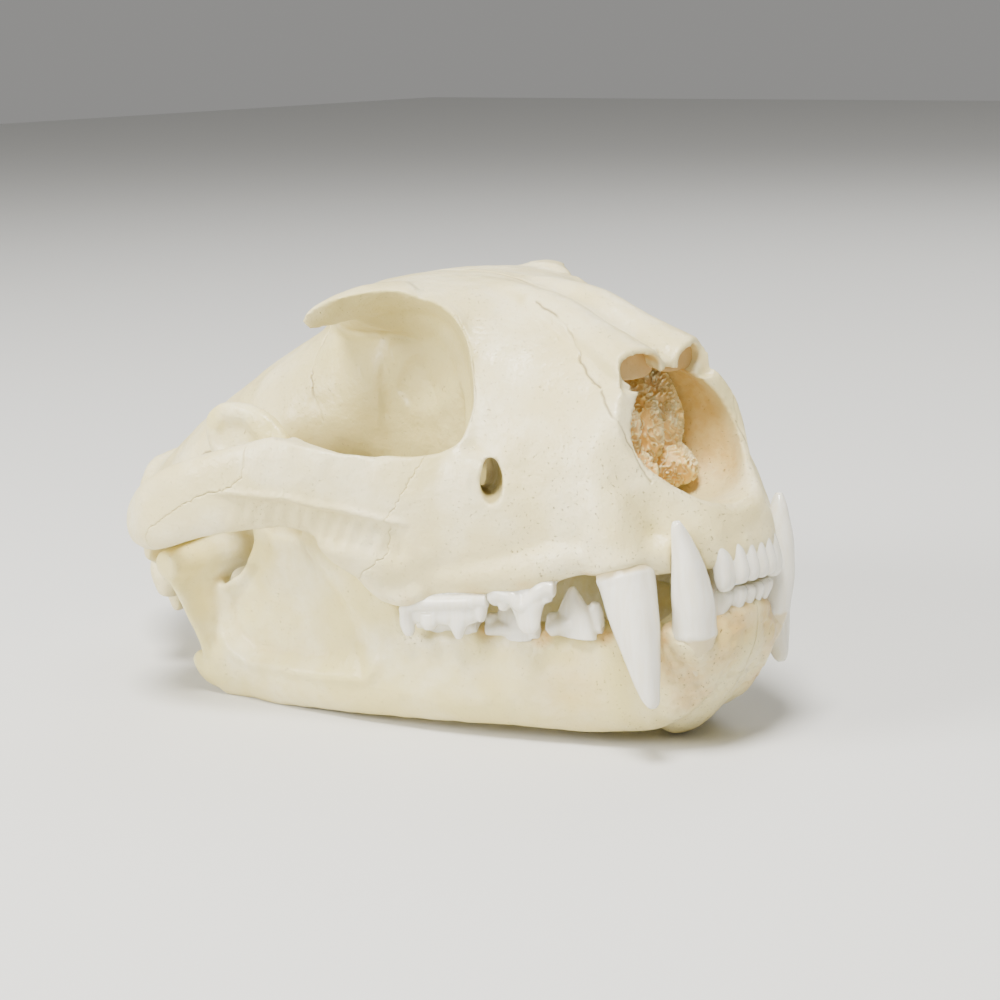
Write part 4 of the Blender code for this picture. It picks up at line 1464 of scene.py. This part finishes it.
@dataclass(frozen=True)
class Canine:
    """A canine: a curved cone with a blunt, worn tip and a groove along it.

    The enamel starts at `rim` above the level `gum`, and `slope` higher for each mm towards +X.
    """

    rows: Rows
    gum: float
    rim: float
    slope: float
    points_up: bool
    first_crown_row: int = 2
    groove_depth: float = 0.28
    enamel_step: float = 0.3
    waves: float = 0.08

    def room(self, by: float) -> Lump:
        """Gives the space that the crown needs clear.

        Args:
            by: How much wider than the crown it is, in millimetres.

        Returns:
            The space, on the left.
        """
        rows = np.asarray(self.rows[self.first_crown_row:], float) + (0, 0, 0, by, by)
        return limb(tuple(map(tuple, rows)), along=(1, 0, 0))

    def build(self, name: str, side: Side) -> Skin:
        """Makes the tooth.

        Args:
            name: Its name.
            side: Which side's tooth.

        Returns:
            The tooth.
        """
        skin = Skin(name, [limb(self.rows, along=(1, 0, 0), step=0.7, sides=56, power=2.15).on(side)])
        points, normals = skin.points, skin.normals
        sign = 1 if self.points_up else -1
        height = sign * (points[:, 2] - self.gum)
        tall = float(height.max())
        groove = hump(normals[:, 0] + 0.15, 0.22) * risen(np.abs(points[:, 1]), 0, 1)
        groove = groove * risen(height, 2, 6) * (1 - risen(height, 0.65 * tall, 0.85 * tall))
        edge = height - self.rim - self.slope * (points[:, 0] - self.rows[self.first_crown_row][0])
        collar = risen(edge, 0.3, -0.3)
        swollen = self.enamel_step * (1 - collar) * (1 - risen(edge, 0.3, 2.5))
        skin.swell(swollen - self.groove_depth * groove + self.waves * value_noise(points * (1, 1, 0.4), 2.4, 5))
        skin.paint("root", 0.8 * collar)
        return skin


UPPER_CANINE = Canine(
    rows=(
        (69.4, 20.2, 55.6, 5.2, 4.5),
        (70.8, 20.6, 52.4, 6.0, 4.9),
        (75.2, 21.8, 43, 6.7, 5.2),
        (78.6, 22.9, 34, 5.9, 4.7),
        (81.5, 23.5, 24.5, 4.0, 3.5),
        (83.2, 23.4, 17.4, 2.4, 2.2),
        (83.9, 23.2, 14.9, 1.6, 1.5),
        (84.1, 23.2, 14.0, 0.8, 0.8),
    ),
    gum=42.0, rim=-0.6, slope=-0.32, points_up=False,
)
LOWER_CANINE = Canine(
    rows=(
        (78, 8.8, 12, 3.4, 3.2),
        (83.6, 10.8, 21, 4.6, 4.0),
        (87.2, 12.8, 28.6, 5.0, 4.4),
        (88.3, 14.4, 36, 4.9, 4.2),
        (88.4, 15.9, 43.5, 3.9, 3.5),
        (87.7, 17.2, 50, 2.5, 2.2),
        (87.1, 18.2, 54, 1.3, 1.2),
        (87.0, 18.4, 55, 0.7, 0.7),
    ),
    gum=27.7, rim=0.6, slope=0.15, points_up=True,
)


@dataclass(frozen=True)
class CheekTooth:
    """A cheek tooth: roots and enamel bands along the jaw, and upright cusps, as limbs."""

    name: str
    bands: tuple[Rows, ...]
    cusps: tuple[Rows, ...]
    step: float = 0.6
    sides: int = 24
    blend: float = 0.5

    def build(self, side: Side, voxel: float) -> Skin:
        """Makes the tooth.

        Args:
            side: Which side's tooth.
            voxel: Size of its faces, in millimetres.

        Returns:
            The tooth.
        """
        fine = {"step": self.step, "sides": self.sides}
        lumps = [limb(rows, **fine).on(side) for rows in self.bands]
        lumps += [limb(rows, along=(1, 0, 0), **fine).on(side) for rows in self.cusps]
        skin = Skin(f"{self.name}_{side.word}", lumps)
        skin.melt(voxel, self.blend)
        skin.paint("root", np.zeros(len(skin.points)))
        return skin


UPPER_CHEEK_TEETH = (
    CheekTooth("upper_third_premolar", (
        ((46.6, 34.0, 34.6, 1.8, 1.6), (48.8, 33.6, 36.2, 2.0, 1.9), (52.0, 32.9, 35.9, 1.9, 1.9),
         (54.6, 32.1, 34.0, 1.8, 1.9), (57.2, 31.3, 36.0, 1.9, 1.9), (59.8, 30.4, 38.4, 2.1, 1.8),
         (61.8, 29.6, 38.4, 1.8, 1.5)),
        ((48.5, 32.0, 41, 3, 2.2), (54, 30.8, 39.4, 4.4, 2.4), (60.8, 28.2, 43, 3, 2.0)),
    ), (
        ((54.6, 30.2, 38.5, 4.6, 1.8), (54.9, 31.2, 35.0, 4.9, 2.1), (55.4, 31.5, 31.6, 3.6, 1.8),
         (55.8, 31.8, 29, 2.9, 1.3), (55.9, 31.9, 27.8, 1.5, 0.7)),
        ((50.4, 32.8, 37, 2.4, 1.8), (49.6, 33.2, 33.4, 1.5, 1.3), (49.4, 33.3, 32.4, 0.8, 0.8)),
        ((59.0, 30.2, 38, 2.2, 1.7), (60.2, 30.3, 35.2, 1.2, 1.1)),
    )),
    CheekTooth("upper_carnassial", (
        ((25.2, 40.0, 29.4, 1.9, 1.6), (26.8, 40.0, 31.4, 2.0, 1.8), (30, 39.6, 32.4, 1.9, 1.9),
         (36, 38.4, 33.2, 1.8, 1.9), (42, 37.0, 34.0, 1.8, 1.9), (46.6, 35.2, 34.6, 1.6, 1.5)),
        ((26, 38.6, 36.6, 3, 2.4), (36, 36.6, 37.6, 3.4, 2.8), (45.4, 33.8, 39.0, 3.0, 2.4)),
        ((27, 39.0, 29.4, 2.4, 1.4), (34, 38.0, 30.0, 2.4, 1.5), (40, 36.9, 30.6, 2.6, 1.6),
         (45.4, 35.2, 32, 1.8, 1.2)),
    ), (
        ((38.8, 36.6, 33, 4.6, 2.0), (38.9, 36.9, 29.6, 3.6, 1.8), (39.2, 37.1, 26.8, 1.9, 1.3),
         (39.4, 37.2, 24.9, 0.7, 0.6)),
        ((26.0, 39.9, 31, 1.9, 1.7), (25.9, 40.1, 27.4, 1.9, 1.7), (26.4, 40.1, 24.9, 1.5, 1.2),
         (26.6, 40.1, 24.1, 0.8, 0.7)),
        ((31.6, 38.8, 30, 3.0, 1.7), (31.8, 39.0, 27.6, 2.6, 1.5), (32.0, 39.0, 26.2, 1.4, 0.9)),
        ((44.8, 35.6, 33.4, 1.9, 1.6), (45.2, 35.8, 30.6, 1.1, 1.1), (45.3, 35.9, 29.6, 0.6, 0.6)),
    )),
)
LOWER_CHEEK_TEETH = (
    CheekTooth("lower_third_premolar", (
        ((55.2, 24.2, 27.2, 1.9, 2.0), (58, 23.4, 28.4, 2.2, 2.5), (62, 21.9, 29.0, 2.1, 2.5),
         (67, 19.6, 28.8, 1.8, 1.9)),
    ), (
        ((61, 22.0, 26, 6.0, 2.4), (61, 22.2, 30.4, 5.0, 2.2), (60.9, 22.4, 33.8, 3.2, 1.8),
         (60.8, 22.6, 36.2, 1.6, 1.2), (60.8, 22.7, 37.5, 0.7, 0.6)),
        ((56.2, 23.8, 27, 2.2, 2.0), (56.1, 24.0, 30.4, 1.4, 1.4), (56.1, 24.0, 31.2, 0.7, 0.7)),
        ((65.2, 20.4, 29, 2.5, 1.8), (65.5, 20.5, 32.4, 2.0, 1.5), (65.8, 20.6, 34.2, 1.0, 0.9)),
    )),
    CheekTooth("lower_fourth_premolar", (
        ((40.6, 29, 25.8, 1.8, 2.0), (46, 27.2, 26.6, 2.0, 2.6), (52.4, 25.0, 26.8, 1.8, 2.0)),
    ), (
        ((46.4, 26.6, 24, 5.6, 2.4), (46.2, 26.8, 28.6, 4.6, 2.2), (45.8, 26.9, 33.0, 2.0, 1.4),
         (45.7, 27, 35.2, 0.7, 0.6)),
        ((41.8, 28.5, 25, 2.2, 2.0), (41.6, 28.6, 28.8, 1.4, 1.4), (41.6, 28.6, 29.6, 0.8, 0.8)),
        ((51.2, 25.4, 25, 2.2, 2.0), (51.5, 25.4, 28.8, 1.3, 1.3), (51.6, 25.4, 29.6, 0.7, 0.7)),
    )),
    CheekTooth("lower_carnassial", (
        ((23.4, 33.8, 25.6, 1.8, 2.0), (31, 31.6, 26.2, 2.0, 2.6), (38.6, 29.6, 26.2, 1.8, 2.0)),
    ), (
        ((27.6, 32.4, 23, 4.4, 2.3), (27.4, 32.4, 28.4, 3.4, 1.8), (26.6, 32.6, 32.2, 1.6, 1.0),
         (26.4, 32.6, 33, 0.7, 0.5)),
        ((34.4, 30.6, 23, 4.2, 2.3), (34.6, 30.6, 28, 3.2, 1.8), (35.2, 30.4, 31.6, 1.6, 1.0),
         (35.4, 30.4, 32.4, 0.7, 0.5)),
    )),
)


@dataclass(frozen=True)
class Incisors:
    """A row of small front teeth, whose cutting edges lean forward.

    A tooth is x, y, half width and height of the crown.
    """

    name: str
    teeth: Rows
    gum: float
    lean: float
    points_up: bool
    root: float = 4.5
    step: float = 0.5
    sides: int = 24
    power: float = 2.5
    blend: float = 0.3

    def build(self, side: Side, voxel: float) -> Skin:
        """Makes one side's teeth as one piece.

        Args:
            side: Which side's teeth.
            voxel: Size of their faces, in millimetres.

        Returns:
            The teeth.
        """
        sign = 1 if self.points_up else -1
        lumps = []
        for x, y, half, crown in self.teeth:
            rows = (
                (x - 2.4, y, self.gum - sign * self.root, 1.5, 0.8 * half),
                (x - 0.6, y, self.gum, 2.1, 1.0 * half),
                (x + 0.1, y, self.gum + sign * 0.5 * crown, 2.2, 1.08 * half),
                (x + self.lean, y, self.gum + sign * 0.85 * crown, 1.6, 1.02 * half),
                (x + self.lean, y, self.gum + sign * crown, 0.9, 0.8 * half),
            )
            tooth = limb(rows, along=(1, 0, 0), step=self.step, sides=self.sides, power=self.power)
            lumps.append(tooth.on(side))
        skin = Skin(f"{self.name}_{side.word}", lumps)
        skin.melt(voxel, self.blend)
        skin.paint("root", np.zeros(len(skin.points)))
        return skin


UPPER_INCISORS = Incisors(
    name="upper_incisors",
    teeth=((94.0, 1.65, 1.5, 5.3), (93.6, 4.9, 1.6, 5.4), (92.2, 8.5, 2.1, 6.6)),
    gum=45.2, lean=0.3, points_up=False,
)
LOWER_INCISORS = Incisors(
    name="lower_incisors",
    teeth=((92.8, 1.45, 1.25, 3.6), (92.4, 4.1, 1.35, 3.8), (90.9, 7.0, 1.7, 3.2)),
    gum=35.2, lean=0.7, points_up=True,
)


@dataclass(frozen=True)
class Turbinates:
    """The scrolled bone that fills the nose."""

    balls: tuple[Ellipsoid, ...] = (
        ((56.5, 7.8, 70), (10.5, 7.4, 13.6), 0, 0),
        ((57.0, 0.0, 69), (10.5, 6.0, 13.0), 0, 0),
        ((62, 7.4, 60.5), (9.5, 7.4, 6.0), 0, 0),
    )
    scroll: Rows = ((62, 7.6, 84.8, 2.4, 5.2), (66.6, 7.8, 85.2, 2.9, 6.8))
    lump_height: float = 0.9
    lump_width: float = 4.5
    fold_depth: float = 0.8
    folds: float = 5.6
    sponge_blend: float = 0.8
    scroll_blend: float = 0.5

    def build(self, voxel: float) -> list[tuple[Skin, Finish]]:
        """Makes the pieces.

        Args:
            voxel: Size of their faces, in millimetres.

        Returns:
            Each piece and its finish.
        """
        spongy = Skin("nose_sponge", both([ball(*item) for item in self.balls]))
        spongy.melt(voxel, self.sponge_blend)
        points = spongy.points
        field = value_noise(points, 2.0, 3) + 0.45 * value_noise(points, 1.0, 4)
        ridges = np.abs(np.sin(self.folds * field))
        lumpy = value_noise(points, self.lump_width, 6)
        spongy.swell(self.lump_height * lumpy - self.fold_depth * risen(ridges, 0.2, 0.6))
        # Painted shade: the folds are darker, and more so towards the right and towards the floor of the nose.
        deep = 0.8 - 0.02 * (points[:, 1] + 8) + 0.012 * (68 - points[:, 2])
        spongy.paint("shade_and_tone", np.clip(risen(ridges, 0.12, 0.55) * deep * (1 - 0.3 * lumpy), 0, 1))
        # The scroll wears the darker tan finish: painted shade.
        roll = Skin("nose_scroll", both([limb(self.scroll, power=3.2)]))
        roll.melt(voxel, self.scroll_blend)
        blank = np.zeros(len(roll.points))
        for name in LAYERS:
            roll.paint(name, blank)
        return [(spongy, SPONGY), (roll, SHADED_NOSE_BONE)]


@dataclass(frozen=True)
class Sculptor:
    """Works the fine relief into the bones and paints the layers that their finish reads.

    Lines are the sutures, spots are stains and the ridge is the upper edge of the cheek arch's
    scar, all on the left side. A spot is x, y, z, its width and its strength, a ridge's corner is
    x and z, and a wave is its width, height and seed.
    """

    lines: list[Rows]
    skull_spots: Rows = (
        (-1, 41, 88, 6, 0.4),
        (69, 26, 41.5, 3.5, 0.5),
        (56, 33, 38, 4, 0.35),
        (44, 37, 36, 5, 0.35),
        (28, 41, 34, 4, 0.4),
        (91, 6, 47, 4, 0.3),
    )
    jaw_spots: Rows = (
        (81.5, 15.5, 28.5, 5.5, 0.8),
        (84.5, 14.0, 21.5, 9.0, 0.55),
        (92.4, 6, 32, 9, 0.62),
        (91, 9, 25, 8, 0.42),
        (86, 12, 14, 8, 0.45),
        (53.4, 25, 25.4, 4, 0.8),
        (67.5, 20, 27, 3.5, 0.7),
        (41, 29, 25, 4, 0.6),
        (60, 22, 14, 12, 0.22),
    )
    arch_ridge: Rows = ((-4, 57.4), (2, 57), (6.9, 56.9), (13.4, 55.1), (18.9, 54.4), (26.8, 52.4), (31, 51.6))
    nose_level: float = 69.0
    seam_reach: float = 1.6
    seam_depth: float = 0.4
    seam_width: float = 0.28
    seam_shade: float = 0.75
    seam_shade_width: float = 0.22
    waves: Rows = ((9, 0.30, 1), (3.2, 0.14, 2))
    pit_depth: float = 0.45
    ridge_height: float = 0.8
    scar_depth: float = 1.2
    groove_depth: float = 0.12
    crease_rounds: int = 45

    @staticmethod
    def folded(points: np.ndarray) -> np.ndarray:
        """Brings both sides' points to the left side."""
        return np.column_stack((points[:, 0], np.abs(points[:, 1]), points[:, 2]))

    def seams(self, skin: Skin, cuts: int) -> np.ndarray:
        """Carves the sutures.

        Args:
            skin: The bone.
            cuts: How finely the faces near a suture are divided.

        Returns:
            How dark each point of the bone is.
        """
        fold = self.folded(skin.points)
        # Each corner is laid on the nearest point of the skin, so that the line lies on its surface.
        laid = []
        for line in self.lines:
            nearest = [fold[np.argmin(np.sum((fold - corner) ** 2, axis=1))] for corner in np.asarray(line)]
            nearest = [nearest[0]] + [(p + 2 * q + r) / 4 for p, q, r in zip(nearest, nearest[1:], nearest[2:])]
            laid.append([point for k, point in enumerate(nearest) if not k or (point != nearest[k - 1]).any()])
        away = np.min([line_distance(fold, line) for line in laid], axis=0)
        skin.refine(away < self.seam_reach, cuts)
        points = skin.points
        away = np.min([line_distance(self.folded(points), line) for line in laid], axis=0)
        # A suture is plain in places and nearly closed in others.
        shown = risen(value_noise(points, 5, 21), -0.6, 0.1)
        skin.swell(-self.seam_depth * hump(away, self.seam_width) * (0.3 + 0.7 * shown))
        return self.seam_shade * hump(away, self.seam_shade_width) * (0.1 + 0.9 * shown)

    def undulate(self, skin: Skin) -> None:
        """Gives the bone its slight unevenness, and keeps it above the floor.

        Args:
            skin: The bone.
        """
        points = skin.points
        skin.swell(sum(height * value_noise(points, width, seed) for width, height, seed in self.waves))
        skin.points = np.maximum(skin.points, (-np.inf, -np.inf, 0))

    def roughen(self, skin: Skin) -> None:
        """Pits the chin, where the lips were rooted, but not the joint between the halves.

        Args:
            skin: The left half of the lower jaw.
        """
        points = skin.points
        chin = risen(points[:, 0], 74, 84) * (1 - risen(points[:, 2], 31, 34)) * risen(np.abs(points[:, 1]), 0.7, 2.5)
        pits = risen(value_noise(points, 1.8, 31), 0.0, 0.6) + 0.6 * risen(value_noise(points, 3.4, 32), 0.0, 0.6)
        skin.swell(-self.pit_depth * pits * chin)

    def arch_scar(self, skin: Skin) -> None:
        """Raises the ridge that the chewing muscle hangs from, with its scar below.

        Args:
            skin: The skull, still with its cheek bones.
        """
        points, normals = self.folded(skin.points), skin.normals
        line = np.asarray(self.arch_ridge)
        below = np.interp(points[:, 0], line[:, 0], line[:, 1]) - points[:, 2]
        outer = risen(points[:, 1], 43, 46) * risen(normals[:, 1] * np.sign(skin.points[:, 1]), 0.1, 0.5)
        reach = outer * risen(points[:, 0], -14, 2) * (1 - risen(points[:, 0], 29, 34))
        grooves = self.groove_depth * np.sin(1.9 * points[:, 0] - 0.8 * points[:, 2]) * risen(below, 0.8, 2)
        scar = (self.scar_depth + grooves) * risen(below, 0.2, 1.0) * (1 - risen(below, 7, 11))
        skin.swell(reach * (self.ridge_height * hump(below, 0.8) - scar))

    def paint(self, skin: Skin, spots: Rows, pores: np.ndarray, wall_shade_and_tone: np.ndarray, inner: np.ndarray) -> None:
        """Paints the layers.

        Args:
            skin: The bone.
            spots: Its stains.
            pores: How porous each point is.
            wall_shade_and_tone: How much painted shade and yellower tone each point has besides the painted shade of
                its creases.
            inner: How far each point belongs to the nose's tan lining, which is painted darker deeper in as painted
                shade.
        """
        fold = self.folded(skin.points)
        crease_shade = risen(skin.creases(self.crease_rounds), 0.12, 1.1)
        stain = np.zeros(len(fold))
        for x, y, z, width, strength in spots:
            away = np.linalg.norm(fold - (x, y, z), axis=1)
            stain = np.maximum(stain, strength * (1 - risen(away, 0.25 * width, width)))
        # Painted shade in the creases and on the walls, and the yellower tone of the jaw's body.
        skin.paint("shade_and_tone", np.clip(0.8 * crease_shade + wall_shade_and_tone, 0, 1))
        skin.paint("stain", np.clip(stain, 0, 1))
        skin.paint("pores", pores)
        skin.paint("inner", inner)

    def paint_skull(self, skin: Skin, cranium: Cranium, seam: np.ndarray | float = 0.0) -> None:
        """Paints the skull: yellower orbits and temples with painted shade, a tan nose with painted shade deeper in,
        a porous muzzle and canals darkened with painted shade.

        Args:
            skin: The skull or a cheek bone.
            cranium: Its sizes.
            seam: How dark its sutures make each point.
        """
        points, normals = skin.points, skin.normals
        fold = self.folded(points)
        x, y, z = fold.T
        facing = normals[:, 1] * np.sign(points[:, 1])
        # The walls of the orbit and the temple are painted yellower and darker, least where they face up: painted
        # shade.
        wall_shade_and_tone = risen(x, -62, -8) * (1 - risen(x, 36, 39)) * (1 - risen(y, 38, 44)) * risen(z, 42, 50)
        wall_shade_and_tone = wall_shade_and_tone * (1 - risen(normals[:, 2], 0.55, 0.85))
        wall_shade_and_tone = wall_shade_and_tone * np.maximum(risen(facing, -0.2, 0.4), risen(-normals[:, 0], 0, 0.5))
        # What faces the middle of the nose, from its opening back, is lined in tan, painted darker deeper in from the
        # opening's edge: painted shade.
        up = z - self.nose_level
        radial = np.hypot(y, up) + 1e-6
        inward = -(facing * y + normals[:, 2] * up) / radial
        edge = line_distance(np.column_stack((x, z)), cranium.nose_opening)
        lining = risen(inward, -0.1, 0.35) * risen(x, 44, 50)
        lining = lining * (1 - risen(radial, 19, 23)) * (1 - risen(y, 17.5, 19.5))
        shade_deeper_in = 0.15 + 0.85 * risen(edge, 0.6, 5.0) * risen(z, 53, 62)
        inner = lining * shade_deeper_in * (1 - 0.6 * risen(x, 78, 86))
        # The cheek and ear canals are painted dark: painted shade inside the holes.
        canal = line_distance(fold, tuple(row[:3] for row in cranium.cheek_canal))
        dark = (1 - risen(canal, 3.8, 5.6)) * risen(48 - x, 2, 6)
        ear_canal_shade = 1 - risen(line_distance(fold, tuple(row[:3] for row in cranium.ear_canal)), 3.6, 5)
        # The muzzle is the most porous.
        pores = 0.25 + 0.5 * risen(x, 44, 60) * (1 - risen(z, 60, 78))
        self.paint(skin, self.skull_spots, pores, 0.85 * wall_shade_and_tone, inner)
        # The seam layer holds the dark sutures and the canals' painted shade.
        skin.paint("seam", np.maximum(seam, 0.75 * np.maximum(dark, 0.8 * ear_canal_shade)))

    def paint_jaw(self, skin: Skin) -> None:
        """Paints the lower jaw: porous, stained chin, yellower body and painted shade along its lower border.

        Args:
            skin: The left half.
        """
        points = self.folded(skin.points)
        x, _, z = points.T
        pores = 0.2 + 0.9 * risen(x, 66, 80)
        # The body is yellower, and the bottom near the floor is painted darker: painted shade.
        wall_shade_and_tone = 0.25 * risen(x, 10, 60) * (1 - risen(z, 26, 34)) + 0.25 * (1 - risen(z, 2, 9))
        self.paint(skin, self.jaw_spots, pores, wall_shade_and_tone, np.zeros(len(x)))
        skin.paint("seam", np.zeros(len(x)))


@dataclass(frozen=True)
class Studio:
    """Camera, floor and lights. Places are in metres, and angles in degrees.

    A lamp is its name, place, width, power and colour.
    """

    lens: float = 81.57
    place: tuple[float, float, float] = (0.387214, -0.385828, 0.161404)
    turn: float = 43.59055
    rise: float = 12.05281
    roll: float = -1.54422
    sensor: float = 36
    aim: Row = (0, 0, 0.05)
    floor_half: float = 3
    lamps: tuple[tuple[str, Row, float, float, Row], ...] = (
        ("key", (0.30, -0.45, 1.25), 0.45, 38, (1.0, 0.975, 0.93)),
        ("fill", (-0.4, -1.15, 0.6), 0.7, 25, (1.0, 0.985, 0.95)),
        ("rim", (-0.3, 0.9, 1.1), 0.9, 8, (1.0, 1.0, 1.0)),
    )
    sky: Row = (0.86, 0.85, 0.83, 1)
    sky_strength: float = 0.34

    def camera(self) -> None:
        """Sets the camera that the photograph was taken from."""
        az, el, roll = (math.radians(v) for v in (self.turn, self.rise, self.roll))
        back = Vector((math.sin(az) * math.cos(el), -math.cos(az) * math.cos(el), math.sin(el)))
        right = (-back).cross(Vector((0, 0, 1))).normalized()
        up = right.cross(-back)
        across = right * math.cos(roll) + up * math.sin(roll)
        upward = up * math.cos(roll) - right * math.sin(roll)
        data = bpy.data.cameras.new("camera")
        data.lens = self.lens
        data.sensor_width = self.sensor
        item = bpy.data.objects.new("camera", data)
        item.matrix_world = Matrix.Translation(self.place) @ Matrix((across, upward, back)).transposed().to_4x4()
        bpy.context.scene.collection.objects.link(item)
        bpy.context.scene.camera = item

    def floor(self) -> None:
        """Lays the sheet that the skull stands on."""
        shape = bmesh.new()
        bmesh.ops.create_grid(shape, x_segments=8, y_segments=8, size=self.floor_half)
        mesh = bpy.data.meshes.new("floor")
        shape.to_mesh(mesh)
        shape.free()
        item = bpy.data.objects.new("floor", mesh)
        mesh.materials.append(SHEET.material())
        bpy.context.scene.collection.objects.link(item)

    def light(self, name: str, place: Row, size: float, watts: float, tint: Row) -> None:
        """Hangs a soft light that faces the skull.

        Args:
            name: Its name.
            place: Where it hangs.
            size: Its width.
            watts: Its power.
            tint: Its colour.
        """
        data = bpy.data.lights.new(name, "AREA")
        data.shape = "DISK"
        data.size = size
        data.energy = watts
        data.color = tint
        item = bpy.data.objects.new(name, data)
        item.location = place
        item.rotation_euler = (Vector(self.aim) - Vector(place)).to_track_quat("-Z", "Y").to_euler()
        bpy.context.scene.collection.objects.link(item)

    def build(self) -> None:
        """Sets everything up."""
        self.camera()
        self.floor()
        for lamp in self.lamps:
            self.light(*lamp)
        world = bpy.data.worlds.new("studio")
        world.use_nodes = True
        sky = world.node_tree.nodes["Background"].inputs
        sky["Color"].default_value = self.sky
        sky["Strength"].default_value = self.sky_strength
        bpy.context.scene.world = world


def main() -> None:
    """Builds the skull, dresses it and sets the studio up."""
    logging.basicConfig(level=logging.INFO, format="%(name)s %(message)s")
    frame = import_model()
    voxel = FINE_VOXEL
    tooth_voxel = FINE_TOOTH_VOXEL

    cranium = Cranium()
    skull = cranium.build(voxel, both([LOWER_CANINE.room(CANINE_ROOM)]))
    sculptor = Sculptor(Sutures().lines())
    sculptor.undulate(skull)
    sculptor.arch_scar(skull)
    cheeks = {side: CheekBone().part_from(skull, side) for side in Side}
    seam = sculptor.seams(skull, FINE_CUTS)
    sculptor.paint_skull(skull, cranium, seam)
    skull.dress(SKULL_BONE, "cranium", "cranium_bone")
    for side, bone in cheeks.items():
        sculptor.paint_skull(bone, cranium)
        bone.dress(SKULL_BONE, f"zygomatic_arch_{side.word}", "arch_bone")

    left = LowerJaw().build(voxel)
    sculptor.undulate(left)
    sculptor.roughen(left)
    sculptor.paint_jaw(left)
    right = Skin.copy_of(left, "jaw_bone_right")
    right.item.data.transform(Matrix.Diagonal((1, -1, 1, 1)))
    right.item.data.flip_normals()
    left.dress(JAW_BONE, "mandible_left", "jaw_bone")
    right.dress(JAW_BONE, "mandible_right", "jaw_bone")

    for side in Side:
        jaw = f"mandible_{side.word}"
        UPPER_CANINE.build(f"upper_canine_{side.word}", side).dress(TOOTH, "cranium", "cranium_bone")
        LOWER_CANINE.build(f"lower_canine_{side.word}", side).dress(TOOTH, jaw, "jaw_bone")
        for tooth in UPPER_CHEEK_TEETH:
            tooth.build(side, tooth_voxel).dress(TOOTH, "cranium", "cranium_bone")
        for tooth in LOWER_CHEEK_TEETH:
            tooth.build(side, tooth_voxel).dress(TOOTH, jaw, "jaw_bone")
        UPPER_INCISORS.build(side, tooth_voxel).dress(TOOTH, "cranium", "cranium_bone")
        LOWER_INCISORS.build(side, tooth_voxel).dress(TOOTH, jaw, "jaw_bone")
    for piece, finish in Turbinates().build(tooth_voxel):
        piece.dress(finish, "cranium", "cranium_bone")

    Studio().build()
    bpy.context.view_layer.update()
    log.info("%d nodes in the frame", len(frame["nodes"]))


if __name__ == "__main__":
    main()
